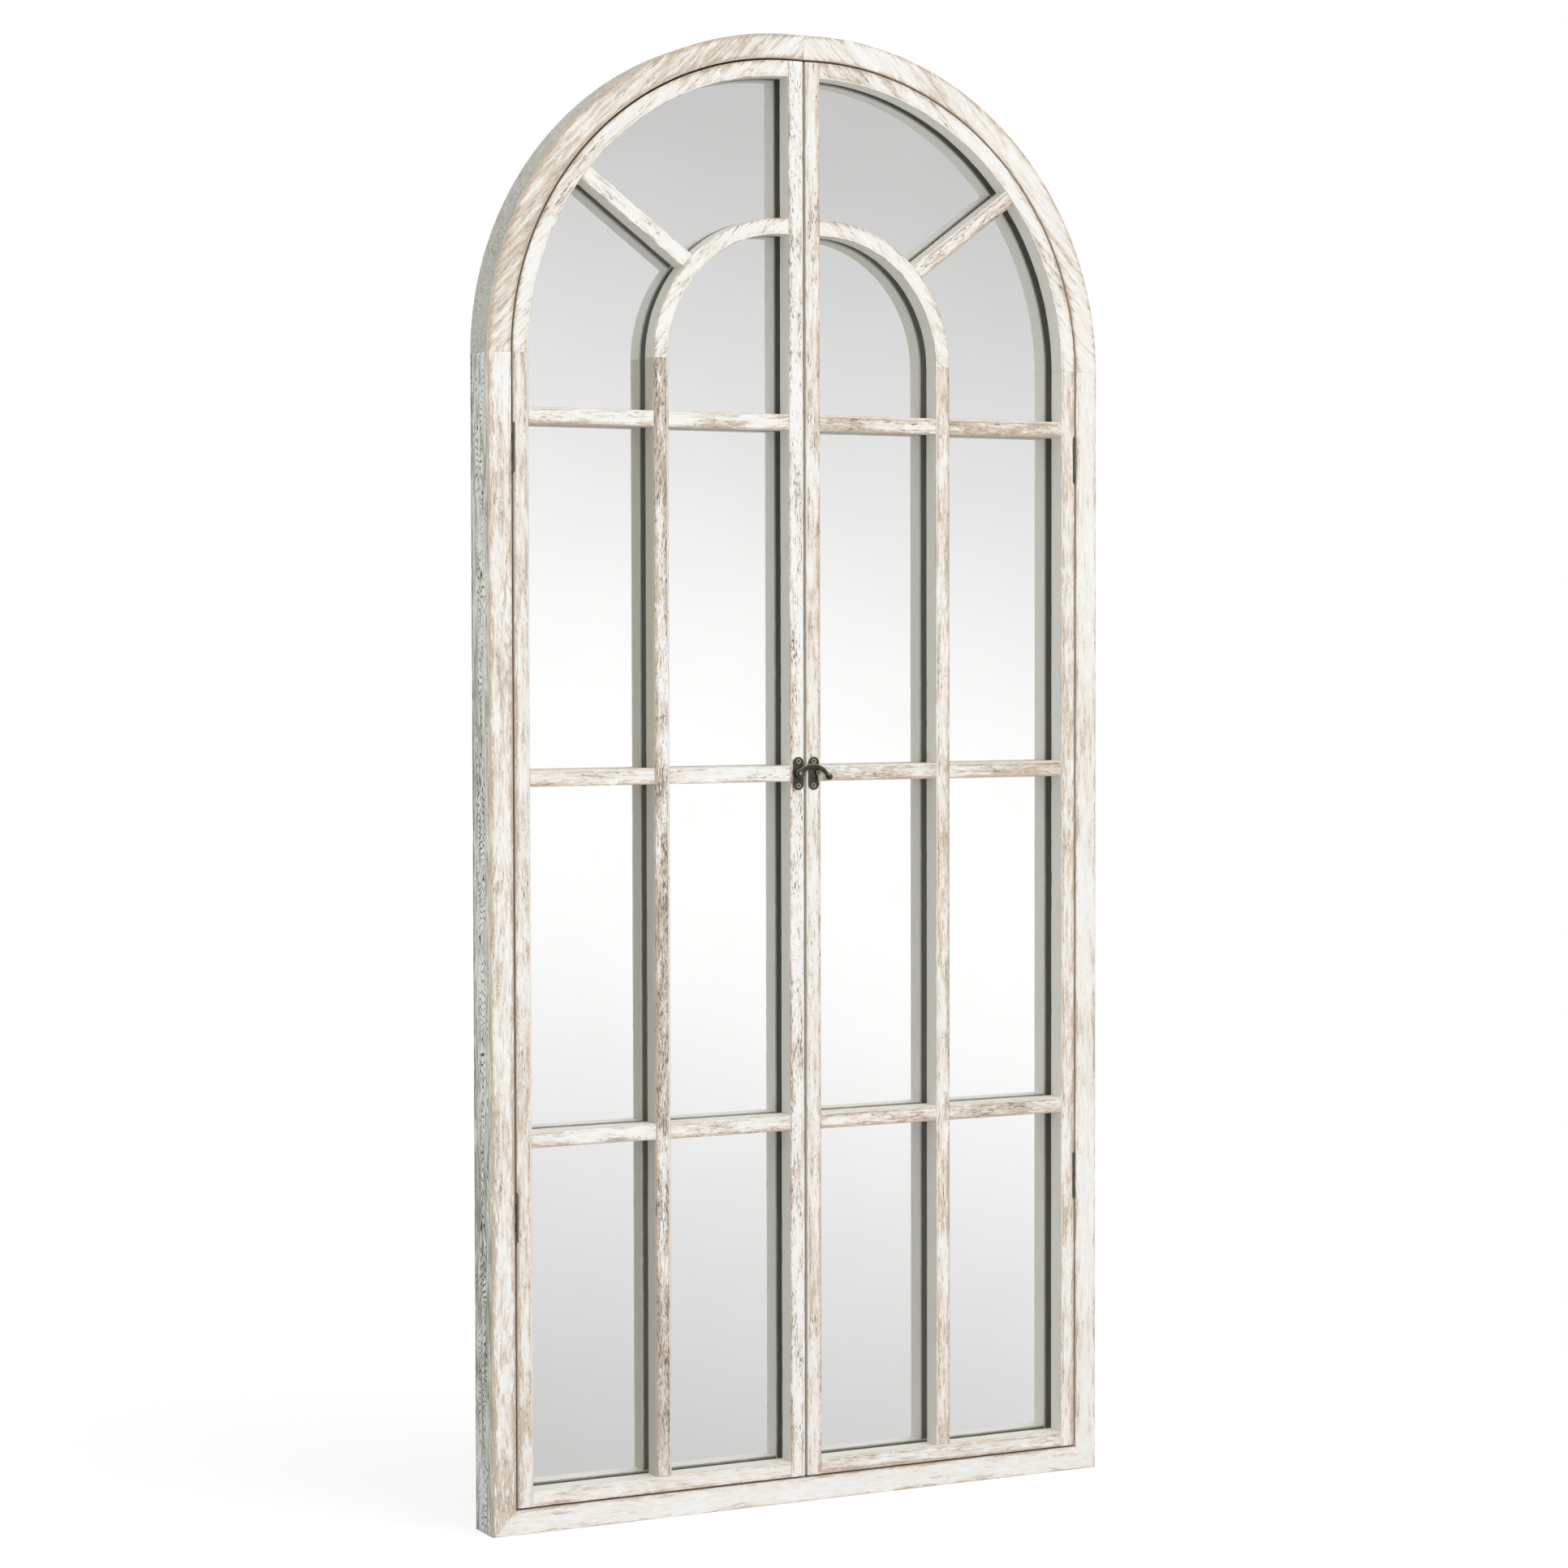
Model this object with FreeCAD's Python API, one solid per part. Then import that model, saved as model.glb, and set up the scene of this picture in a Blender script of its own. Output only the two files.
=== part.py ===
import FreeCAD, Part
import math
import os

from FreeCAD import Vector

os.makedirs("parts", exist_ok=True)

# Arched full-length mirror behind a pair of hinged window doors, in millimetres.
# X runs to the right, Y from the front to the wall and Z up.
# The origin is the middle of the frame's underside, halfway through its depth.

# Outer frame
frame_width = 730.0
springing_height = 1224.0
frame_face = 25.6
frame_depth = 47.0
stop_width = 8.0
stop_clearance = 0.7

# Doors: every member has the same width and thickness
member_width = 17.0
door_thickness = 21.0
meeting_gap = 3.0
upper_bar_drop = 64.0
inner_arch_run = 7.5
spoke_angle = 36.5
bar_rows = ("lower", "middle", "upper")

# Mirror and backing board
mirror_setback = 7.6
glass_thickness = 4.0
glass_clearance = 1.0
board_thickness = 3.0
board_step = 7.0
board_clearance = 0.6

# Stub tenons of the doors and dowels of the frame
tenon_length = 6.0
tenon_thickness = 7.0
tenon_shoulder = 3.0
tenon_root = 2.0
joint_clearance = 0.1
joint_end_gap = 0.4
dowel_radius = 3.0
dowel_length = 22.0
dowel_spacing = 18.0

# Butt hinges: the two leaves and the room between them set the gap round the doors
hinge_length = 50.0
hinge_leaf_depth = 15.0
hinge_leaf_thickness = 1.0
hinge_leaf_gap = 0.2
hinge_knuckles = 5
hinge_screw_spacing = 30.0
lower_hinge_drop = 80.0
knuckle_radius = 1.5
knuckle_side_gap = 0.4
knuckle_end_gap = 0.3
pin_proud = 0.65
pin_radius = 0.75
pin_clearance = 0.08
pin_head_radius = 1.2
pin_head_height = 0.5

# Hook latch: two round-ended plates, a swinging tapered hook and a curled catch
plate_width = 12.5
plate_length = 35.5
plate_thickness = 1.2
plate_edge_round = 0.4
plate_screw_spacing = 26.0
hook_plate_shift = 1.5
hook_reach = 34.8
hook_drop = 3.5
hook_rise = 9.2
hook_thickness = 3.6
hook_bar_thickness = 3.2
hook_root_width = 6.8
hook_neck_width = 4.2
hook_sections = 7
hook_plate_gap = 0.35
hook_eye_radius = 5.0
hook_eye_round = 0.8
hook_ball_radius = 3.9
hook_rest_gap = 0.6
rivet_radius = 1.6
rivet_clearance = 0.1
rivet_head_radius = 2.6
rivet_head_height = 1.3
rivet_head_round = 0.9
rivet_head_gap = 0.3
rivet_depth = 4.0
catch_turn = 66.0
catch_ring_radius = 1.75
catch_wire_radius = 0.85
catch_stem_drop = 8.5

# Keyhole hanger plates let in flush at the back
hanger_width = 16.0
hanger_length = 46.0
hanger_thickness = 2.0
hanger_drop = 60.0
hanger_clearance = 0.2
hanger_screw_spacing = 35.0
keyhole_radius = 4.5
keyhole_slot_width = 4.5
keyhole_travel = 12.0
keyhole_pocket_depth = 8.0
keyhole_pocket_margin = 1.0

# Screws: countersunk ones for the hardware, pan heads for the backing board
screw_radius = 1.3
screw_head_radius = 2.5
screw_length = 10.0
screw_tip_length = 3.0
screw_tip_radius = 0.3
screw_clearance = 0.1
board_screw_radius = 1.5
board_screw_length = 11.0
board_screw_head_radius = 2.8
board_screw_head_height = 1.4
board_hole_clearance = 0.3
stile_screw_rows = 3
rail_screw_spacing = 240.0
arch_screw_angles = (30, 60)

# Depths, measured from the front of the frame
front = -frame_depth / 2
back = frame_depth / 2
door_back = front + door_thickness
door_middle = front + door_thickness / 2
stop_front = door_back + stop_clearance
glass_front = door_back + mirror_setback
glass_back = glass_front + glass_thickness
board_back = glass_back + board_thickness

# Outline of the frame: the arch is two quarter circles whose centres stand apart
door_gap = 2 * hinge_leaf_thickness + hinge_leaf_gap
frame_half = frame_width / 2
stop_edge = frame_face + stop_width
board_edge = frame_face - board_step
arch_centre = meeting_gap / 2 + member_width
arch_radius = frame_half - arch_centre
crown_height = springing_height + arch_radius

# Places of the right door's members; the left door is its mirror image
door_edge = frame_half - frame_face - door_gap
door_inner_edge = door_edge - member_width
door_bottom = frame_face + door_gap
rail_middle = door_bottom + member_width / 2
rail_top = door_bottom + member_width
head_radius = door_edge - arch_centre
door_top = springing_height + head_radius
muntin_middle = (door_inner_edge + arch_centre) / 2
muntin_outer = muntin_middle + member_width / 2
muntin_inner = muntin_middle - member_width / 2
inner_arch_centre = arch_centre + inner_arch_run
inner_arch_radius = muntin_outer - inner_arch_centre
bar_pitch = (springing_height - upper_bar_drop - rail_middle) / len(bar_rows)
bar_heights = {row: rail_middle + bar_pitch * (i + 1) for i, row in enumerate(bar_rows)}

# Places of the hardware
hinge_x = door_edge
hinge_y = front - pin_proud
hinge_heights = {
    "upper": bar_heights["upper"] - (member_width + hinge_length) / 2,
    "lower": bar_heights["lower"] - lower_hinge_drop,
}
latch_height = bar_heights["middle"]
catch_x = (meeting_gap + member_width) / 2
hook_x = hook_plate_shift - catch_x
hanger_x = frame_half - board_edge / 2
hanger_height = springing_height - hanger_drop
board_screw_inset = frame_face - board_step / 2

right, left = Vector(1, 0, 0), Vector(-1, 0, 0)
inwards, outwards = Vector(0, 1, 0), Vector(0, -1, 0)
up = Vector(0, 0, 1)


def box(x0, x1, y0, y1, z0, z1):
    """Block between two corners."""
    return Part.makeBox(x1 - x0, y1 - y0, z1 - z0, Vector(x0, y0, z0))


def prism(points, y0, y1):
    """Straight-sided outline of (x, z) points, from depth y0 to depth y1."""
    corners = [Vector(x, y0, z) for x, z in points]
    return Part.Face(Part.makePolygon(corners + corners[:1])).extrude(Vector(0, y1 - y0, 0))


def disc(x, z, radius, y0, y1):
    """Round block on an axis through the depth."""
    return Part.makeCylinder(radius, y1 - y0, Vector(x, y0, z), inwards)


def stadium(x, z, width, length, y0, y1):
    """Upright block with two round ends."""
    run = (length - width) / 2
    body = box(x - width / 2, x + width / 2, y0, y1, z - run, z + run)
    ends = [disc(x, z + side * run, width / 2, y0, y1) for side in (-1, 1)]
    return body.multiFuse(ends).removeSplitter()


def front_rounded(shape, radius):
    """A flat piece with the edges of its front face rounded."""
    face_y = shape.BoundBox.YMin
    edges = [edge for edge in shape.Edges if edge.BoundBox.YMax < face_y + radius / 2]
    return shape.makeFillet(radius, edges)


def mirrored(shape):
    """The same piece for the other side of the middle."""
    return shape.mirror(Vector(0, 0, 0), right)


def both_sides(shapes):
    """Pieces of the right side with their mirror images."""
    return shapes + [mirrored(shape) for shape in shapes]


def cut_all(shape, cutters):
    """A piece less everything let into it."""
    return shape.cut(cutters) if cutters else shape


def screw(at, along, head_height, length=screw_length, grow=0.0):
    """Countersunk screw with its head flush at a point; grow makes the hole for it."""
    shank_end = length if grow else length - screw_tip_length
    head = Part.makeCone(screw_head_radius + grow, screw_radius + grow, head_height, at, along)
    shank = Part.makeCylinder(screw_radius + grow, shank_end + grow, at, along)
    whole = head.fuse(shank)
    if not grow:
        tip_at = at + along * shank_end
        whole = whole.fuse(Part.makeCone(screw_radius, screw_tip_radius, screw_tip_length, tip_at, along))
    return whole.removeSplitter()


def screw_hole(at, along, head_height):
    """Countersink and pilot hole for a screw."""
    return screw(at, along, head_height, grow=screw_clearance)


def export(name, solids):
    """Write one piece, or one group of like fasteners, to its file."""
    shape = solids[0] if len(solids) == 1 else Part.makeCompound(solids)
    shape.exportStep("parts/" + name + ".step")


# Frame section: front face, door stop, glass rebate and board step, by inset and depth
frame_profile = [
    (0, front),
    (frame_face, front),
    (frame_face, stop_front),
    (stop_edge, stop_front),
    (stop_edge, glass_front),
    (frame_face, glass_front),
    (frame_face, glass_back),
    (board_edge, glass_back),
    (board_edge, back),
    (0, back),
]


def frame_section(outer, inset_way):
    """The section as a face: outer is a point of the outside edge, inset_way points into the frame."""
    points = [outer + inset_way * inset + inwards * depth for inset, depth in frame_profile]
    return Part.Face(Part.makePolygon(points + points[:1]))


def arch_outline(inset, y0, y1):
    """Panel that follows the inside of the frame at an inset, with its arch and flat crown."""
    half, radius = frame_half - inset, arch_radius - inset
    body = box(-half, half, y0, y1, inset, springing_height)
    crown = box(-arch_centre, arch_centre, y0, y1, springing_height, springing_height + radius)
    corner = disc(arch_centre, springing_height, radius, y0, y1)
    quarter = corner.common(
        box(arch_centre, half, y0, y1, springing_height, springing_height + radius)
    )
    return body.multiFuse([crown] + both_sides([quarter])).removeSplitter()


# Dowels of the frame's joints: each is a place, a direction and the pieces that it joins
def dowel(at, along, grow=0.0, end_gap=0.0):
    """Dowel centred on a joint; grow and end_gap make the hole for it."""
    half = dowel_length / 2 + end_gap
    return Part.makeCylinder(dowel_radius + grow, 2 * half, at - along * half, along)


def dowel_pair(x, z, along):
    """The two dowels of a joint, side by side through the depth, and their holes."""
    middle = (front + glass_back) / 2
    places = [Vector(x, middle + side * dowel_spacing / 2, z) for side in (-1, 1)]
    pins = [dowel(at, along) for at in places]
    holes = [dowel(at, along, joint_clearance, joint_end_gap) for at in places]
    return pins, holes


mitre_way = Vector(1, 0, 1).normalize()
face_middle = frame_face / 2
spring_dowels, spring_holes = dowel_pair(frame_half - face_middle, springing_height, up)
mitre_dowels, mitre_holes = dowel_pair(frame_half - face_middle, face_middle, mitre_way)
crown_dowels, crown_holes = dowel_pair(0, crown_height - face_middle, right)
export("frame_dowels", both_sides(spring_dowels + mitre_dowels) + crown_dowels)

# Backing board screws: along the stiles, the bottom rail and the arch
stile_screw_step = springing_height / stile_screw_rows
board_screw_x = frame_half - board_screw_inset
stile_screws = [(board_screw_x, stile_screw_step * (i + 0.5)) for i in range(stile_screw_rows)]
rail_screws = [(rail_screw_spacing / 2, board_screw_inset)]
arch_turns = [math.radians(angle) for angle in arch_screw_angles]
arch_reach = arch_radius - board_screw_inset
arch_screws = [
    (arch_centre + arch_reach * math.cos(turn), springing_height + arch_reach * math.sin(turn))
    for turn in arch_turns
]


def board_screw(x, z):
    """Pan-head screw from behind the board into the frame."""
    head_end = board_back + board_screw_head_height
    head = disc(x, z, board_screw_head_radius, board_back, head_end)
    return head.fuse(disc(x, z, board_screw_radius, board_back - board_screw_length, board_back))


def board_screw_holes(places, clearance):
    """Holes for board screws, a little longer than their shanks."""
    hole_start = board_back - board_screw_length - clearance
    radius = board_screw_radius + clearance
    return [disc(x, z, radius, hole_start, board_back) for x, z in places]


board_screw_places = stile_screws + rail_screws + arch_screws
export("backing_screws", both_sides([board_screw(x, z) for x, z in board_screw_places]))
board = arch_outline(board_edge + board_clearance, glass_back, board_back)
board_holes = board_screw_holes(board_screw_places, board_hole_clearance)
export("backing_board", [cut_all(board, both_sides(board_holes))])
export("mirror_glass", [arch_outline(frame_face + glass_clearance, glass_front, glass_back)])

# Keyhole hanger plate: entry hole, slot above it and a countersunk screw at each end
keyhole_z = hanger_height - keyhole_travel / 2
slot_top = keyhole_z + keyhole_travel
plate_front = back - hanger_thickness
slot_half = keyhole_slot_width / 2
keyhole = [
    disc(hanger_x, keyhole_z, keyhole_radius, plate_front, back),
    box(hanger_x - slot_half, hanger_x + slot_half, plate_front, back, keyhole_z, slot_top),
    disc(hanger_x, slot_top, slot_half, plate_front, back),
]
hanger_screw_places = [
    Vector(hanger_x, back, hanger_height + side * hanger_screw_spacing / 2) for side in (-1, 1)
]
hanger_screw_holes = [screw_hole(at, outwards, hanger_thickness) for at in hanger_screw_places]
hanger = stadium(hanger_x, hanger_height, hanger_width, hanger_length, plate_front, back)
hanger = cut_all(hanger, keyhole + hanger_screw_holes)
export("right_hanger_plate", [hanger])
export("left_hanger_plate", [mirrored(hanger)])
hanger_screws = [screw(at, outwards, hanger_thickness) for at in hanger_screw_places]
export("hanger_screws", both_sides(hanger_screws))
pocket_width = 2 * (keyhole_radius + keyhole_pocket_margin)
hanger_seat = stadium(
    hanger_x,
    hanger_height,
    hanger_width + 2 * hanger_clearance,
    hanger_length + 2 * hanger_clearance,
    plate_front,
    back,
)
pocket = stadium(
    hanger_x,
    hanger_height,
    pocket_width,
    pocket_width + keyhole_travel,
    plate_front - keyhole_pocket_depth,
    plate_front,
)

# Butt hinge on the right side: the barrel stands at the door's front edge, and its rolled
# knuckles belong in turn to the frame leaf and the door leaf
knuckle_pitch = hinge_length / hinge_knuckles
knuckle_room = knuckle_radius + knuckle_side_gap
leaf_end = front + hinge_leaf_depth
hinge_screw_y = (front + leaf_end) / 2
door_leaf_face = hinge_x + hinge_leaf_thickness
frame_leaf_face = hinge_x + door_gap - hinge_leaf_thickness


def hinge_screw_places(height, x, along):
    """Heads of a leaf's two screws and the way that they are driven."""
    offsets = (-hinge_screw_spacing / 2, hinge_screw_spacing / 2)
    return [(Vector(x, hinge_screw_y, height + offset), along) for offset in offsets]


def hinge_leaf(height, near, first, places):
    """One leaf: its plate starts at the width near; first is 0 or 1, its lowest knuckle."""
    bottom = height - hinge_length / 2
    far = near + hinge_leaf_thickness
    room = knuckle_end_gap / 2
    plate = box(near, far, hinge_y, leaf_end, bottom, bottom + hinge_length)
    rolls = []
    notches = []
    for i in range(hinge_knuckles):
        low = bottom + i * knuckle_pitch
        high = low + knuckle_pitch
        if i % 2 == first:
            start = low + (room if i > 0 else 0)
            end = high - (room if i < hinge_knuckles - 1 else 0)
            rolls.append(Part.makeCylinder(knuckle_radius, end - start, Vector(hinge_x, hinge_y, start)))
        else:
            notches.append(box(near, far, hinge_y, hinge_y + knuckle_room, low - room, high + room))
    bore = Part.makeCylinder(pin_radius + pin_clearance, hinge_length, Vector(hinge_x, hinge_y, bottom))
    holes = [screw_hole(at, along, hinge_leaf_thickness) for at, along in places]
    return plate.cut(notches).multiFuse(rolls).cut([bore] + holes).removeSplitter()


def hinge_pin(height):
    """Pin through all the knuckles, with a small head on the top one."""
    bottom = Vector(hinge_x, hinge_y, height - hinge_length / 2)
    top = bottom + up * hinge_length
    shank = Part.makeCylinder(pin_radius, hinge_length, bottom)
    return shank.fuse(Part.makeCylinder(pin_head_radius, pin_head_height, top))


def barrel_groove(height):
    """Round groove in the door's front edge that the barrel turns in."""
    bottom = Vector(hinge_x, hinge_y, height - hinge_length / 2 - knuckle_end_gap)
    groove_length = hinge_length + pin_head_height + 2 * knuckle_end_gap
    return Part.makeCylinder(knuckle_room, groove_length, bottom)


frame_hinge_screws = []
door_hinge_screws = []
frame_hinge_holes = []
door_hinge_cuts = []
for level, height in hinge_heights.items():
    frame_places = hinge_screw_places(height, frame_leaf_face, right)
    door_places = hinge_screw_places(height, door_leaf_face, left)
    pieces = {
        "frame_leaf": hinge_leaf(height, frame_leaf_face, 0, frame_places),
        "door_leaf": hinge_leaf(height, hinge_x, 1, door_places),
        "pin": hinge_pin(height),
    }
    for piece, shape in pieces.items():
        export(level + "_right_hinge_" + piece, [shape])
        export(level + "_left_hinge_" + piece, [mirrored(shape)])
    frame_hinge_screws += [screw(at, along, hinge_leaf_thickness) for at, along in frame_places]
    frame_hinge_holes += [screw_hole(at, along, hinge_leaf_thickness) for at, along in frame_places]
    door_hinge_screws += [screw(at, along, hinge_leaf_thickness) for at, along in door_places]
    door_hinge_cuts += [screw_hole(at, along, hinge_leaf_thickness) for at, along in door_places]
    door_hinge_cuts.append(barrel_groove(height))
export("hinge_frame_screws", both_sides(frame_hinge_screws))
export("right_door_hinge_screws", door_hinge_screws)
export("left_door_hinge_screws", [mirrored(shape) for shape in door_hinge_screws])

# Frame pieces: two stiles, a bottom rail mitred to them and two quarter arches
corner_reach = 2 * stop_edge
rail_side = [(frame_half, 0), (frame_half - corner_reach, corner_reach), (frame_half - corner_reach, 0)]
stile_side = [(frame_half, 0), (frame_half - corner_reach, corner_reach), (frame_half, corner_reach)]

stile = frame_section(Vector(frame_half, 0, 0), left).extrude(up * springing_height)
stile_cuts = [prism(rail_side, front, back), hanger_seat, pocket]
stile_cuts += spring_holes + mitre_holes + frame_hinge_holes + hanger_screw_holes
stile_cuts += board_screw_holes(stile_screws, screw_clearance)
stile = cut_all(stile, stile_cuts)
export("frame_right_stile", [stile])
export("frame_left_stile", [mirrored(stile)])

rail = frame_section(Vector(-frame_half, 0, 0), up).extrude(right * frame_width)
rail_cuts = [prism(stile_side, front, back)] + mitre_holes
rail_cuts += board_screw_holes(rail_screws, screw_clearance)
export("frame_bottom_rail", [cut_all(rail, both_sides(rail_cuts))])

spring_face = frame_section(Vector(frame_half, 0, springing_height), left)
crown_face = frame_section(Vector(arch_centre, 0, crown_height), up * -1)
arch = spring_face.revolve(Vector(arch_centre, 0, springing_height), outwards, 90)
arch = arch.fuse(crown_face.extrude(left * arch_centre)).removeSplitter()
arch_cuts = spring_holes + crown_holes + board_screw_holes(arch_screws, screw_clearance)
arch = cut_all(arch, arch_cuts)
export("frame_right_arch", [arch])
export("frame_left_arch", [mirrored(arch)])


# Doors: straight members, quarter-circle heads and a spoke coped to both arches
def member(x0, x1, z0, z1):
    """Straight member of a door."""
    return box(x0, x1, front, door_back, z0, z1)


def quarter_ring(x, radius):
    """Quarter circle of member width, from its springing to its crown."""
    ring = disc(x, springing_height, radius, front, door_back)
    ring = ring.cut(disc(x, springing_height, radius - member_width, front, door_back))
    return ring.common(member(x, x + radius, springing_height, springing_height + radius))


def tongue(x, z, angle, grow=0.0, end_gap=0.0):
    """Stub tenon that leaves a shoulder at (x, z), at an angle from +X; grow makes its mortise."""
    width = member_width - 2 * tenon_shoulder + 2 * grow
    thickness = tenon_thickness + 2 * grow
    length = tenon_root + tenon_length + end_gap
    block = Part.makeBox(length, thickness, width, Vector(-tenon_root, -thickness / 2, -width / 2))
    block.rotate(Vector(0, 0, 0), outwards, angle)
    block.translate(Vector(x, door_middle, z))
    return block


def spoke_meets(centre_x, radius):
    """Where the spoke's centre line, drawn from the middle of the springing, crosses a circle."""
    turn = math.radians(spoke_angle)
    reach = centre_x * math.cos(turn)
    reach += math.sqrt(radius**2 - (centre_x * math.sin(turn)) ** 2)
    return reach * math.cos(turn), springing_height + reach * math.sin(turn)


head_inner_radius = head_radius - member_width
spoke_bar = member(0, frame_half, -member_width / 2, member_width / 2)
spoke_bar.rotate(Vector(0, 0, 0), outwards, spoke_angle)
spoke_bar.translate(up * springing_height)
spoke = spoke_bar.common(disc(arch_centre, springing_height, head_inner_radius, front, door_back))
spoke = spoke.cut(disc(inner_arch_centre, springing_height, inner_arch_radius, front, door_back))

inner_arch_low = springing_height + inner_arch_radius - member_width
inner_arch_high = springing_height + inner_arch_radius
inner_arch = quarter_ring(inner_arch_centre, inner_arch_radius)
inner_arch_end = member(arch_centre, inner_arch_centre, inner_arch_low, inner_arch_high)

door = {
    "outer_stile": member(door_inner_edge, door_edge, door_bottom, springing_height),
    "meeting_stile": member(meeting_gap / 2, arch_centre, door_bottom, door_top),
    "bottom_rail": member(arch_centre, door_inner_edge, door_bottom, rail_top),
    "arch_head": quarter_ring(arch_centre, head_radius),
    "muntin": member(muntin_inner, muntin_outer, rail_top, springing_height),
    "inner_arch": inner_arch.fuse(inner_arch_end).removeSplitter(),
    "spoke": spoke,
}

# Each joint: the tenoned piece, the mortised piece, the shoulder's place and the tenon's direction
joints = [
    ("bottom_rail", "outer_stile", door_inner_edge, rail_middle, 0),
    ("bottom_rail", "meeting_stile", arch_centre, rail_middle, 180),
    ("muntin", "bottom_rail", muntin_middle, rail_top, 270),
    ("inner_arch", "muntin", muntin_middle, springing_height, 270),
    ("inner_arch", "meeting_stile", arch_centre, inner_arch_high - member_width / 2, 180),
    ("arch_head", "outer_stile", door_edge - member_width / 2, springing_height, 270),
    ("arch_head", "meeting_stile", arch_centre, door_top - member_width / 2, 180),
    ("spoke", "arch_head", *spoke_meets(arch_centre, head_inner_radius), spoke_angle),
    ("spoke", "inner_arch", *spoke_meets(inner_arch_centre, inner_arch_radius), spoke_angle + 180),
]
for row, height in bar_heights.items():
    low = height - member_width / 2
    high = height + member_width / 2
    outer, inner = row + "_outer_bar", row + "_inner_bar"
    door[outer] = member(muntin_outer, door_inner_edge, low, high)
    door[inner] = member(arch_centre, muntin_inner, low, high)
    joints += [
        (outer, "outer_stile", door_inner_edge, height, 0),
        (outer, "muntin", muntin_outer, height, 180),
        (inner, "muntin", muntin_inner, height, 0),
        (inner, "meeting_stile", arch_centre, height, 180),
    ]
for tenoned, mortised, x, z, angle in joints:
    door[tenoned] = door[tenoned].fuse(tongue(x, z, angle)).removeSplitter()
for tenoned, mortised, x, z, angle in joints:
    door[mortised] = door[mortised].cut(tongue(x, z, angle, joint_clearance, joint_end_gap))

# Latch: plates on the meeting stiles, a hook on the left one and a catch on the right one
plate_face = front - plate_thickness
plate_screw_offsets = (-plate_screw_spacing / 2, plate_screw_spacing / 2)


def plate_screw_places(x):
    """Middles of the two screw heads of a plate."""
    return [Vector(x, plate_face, latch_height + offset) for offset in plate_screw_offsets]


def plate_screws(x):
    """Screws of a plate."""
    return [screw(at, inwards, plate_thickness) for at in plate_screw_places(x)]


def plate_screw_holes(x):
    """Holes for the screws of a plate, in the plate and in the stile behind it."""
    return [screw_hole(at, inwards, plate_thickness) for at in plate_screw_places(x)]


def latch_plate(x):
    """Round-ended plate with its screw holes."""
    plate = stadium(x, latch_height, plate_width, plate_length, plate_face, front)
    return cut_all(front_rounded(plate, plate_edge_round), plate_screw_holes(x))


door["outer_stile"] = cut_all(door["outer_stile"], door_hinge_cuts)
rivet_hole_radius = rivet_radius + rivet_clearance
rivet_hole_end = front + rivet_depth + joint_end_gap
rivet_hole = disc(hook_x, latch_height, rivet_hole_radius, plate_face, rivet_hole_end)
hook_cuts = plate_screw_holes(hook_x) + [rivet_hole]
for name, shape in door.items():
    mirror_piece = mirrored(shape)
    if name == "meeting_stile":
        shape = cut_all(shape, plate_screw_holes(catch_x))
        mirror_piece = cut_all(mirror_piece, hook_cuts)
    export("right_door_" + name, [shape])
    export("left_door_" + name, [mirror_piece])

export("hook_plate", [latch_plate(hook_x).cut(rivet_hole)])
export("hook_plate_screws", plate_screws(hook_x))
export("catch_plate_screws", plate_screws(catch_x))

# Hook: an eye on the rivet, a bar that tapers along an arc over the catch, and a finger ball
hook_back = plate_face - hook_plate_gap
hook_front = hook_back - hook_thickness
hook_y = (hook_back + hook_front) / 2
eye = Vector(hook_x, hook_y, latch_height)
tip = eye + Vector(hook_reach, 0, -hook_drop)
chord = tip - eye
arc_radius = chord.Length**2 / (8 * hook_rise) + hook_rise / 2
arc_up = Vector(hook_drop, 0, hook_reach).normalize()
arc_middle = eye + chord * 0.5 - arc_up * (arc_radius - hook_rise)
eye_turn = math.degrees(math.atan2(eye.z - arc_middle.z, eye.x - arc_middle.x))
tip_turn = math.degrees(math.atan2(tip.z - arc_middle.z, tip.x - arc_middle.x))


def hook_way(turn):
    """Way out from the middle of the hook's arc."""
    return Vector(math.cos(math.radians(turn)), 0, math.sin(math.radians(turn)))


def hook_width(turn):
    """Width of the bar, evenly less from the eye to the ball."""
    return hook_root_width + (hook_neck_width - hook_root_width) * (eye_turn - turn) / (eye_turn - tip_turn)


def hook_section(turn):
    """Oval across the bar."""
    middle = arc_middle + hook_way(turn) * arc_radius
    wide = middle + hook_way(turn) * (hook_width(turn) / 2)
    deep = middle + outwards * (hook_bar_thickness / 2)
    return Part.Wire(Part.Ellipse(wide, deep, middle).toShape())


turn_step = (tip_turn - eye_turn) / (hook_sections - 1)
hook = Part.makeLoft([hook_section(eye_turn + turn_step * i) for i in range(hook_sections)], True)
hook_eye = front_rounded(disc(eye.x, eye.z, hook_eye_radius, hook_front, hook_back), hook_eye_round)
finger_ball = Part.makeSphere(hook_ball_radius, Vector(tip.x, hook_back - hook_ball_radius, tip.z))
hook = hook.multiFuse([hook_eye, finger_ball])
hook = hook.cut(disc(eye.x, eye.z, rivet_hole_radius, hook_front, hook_back))
export("latch_hook", [hook.removeSplitter()])

rivet_head_back = hook_front - rivet_head_gap
rivet_head_front = rivet_head_back - rivet_head_height
rivet_head = disc(eye.x, eye.z, rivet_head_radius, rivet_head_front, rivet_head_back)
rivet_head = front_rounded(rivet_head, rivet_head_round)
rivet_shank = disc(eye.x, eye.z, rivet_radius, rivet_head_back, front + rivet_depth)
export("hook_rivet", [rivet_head.fuse(rivet_shank)])

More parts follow.
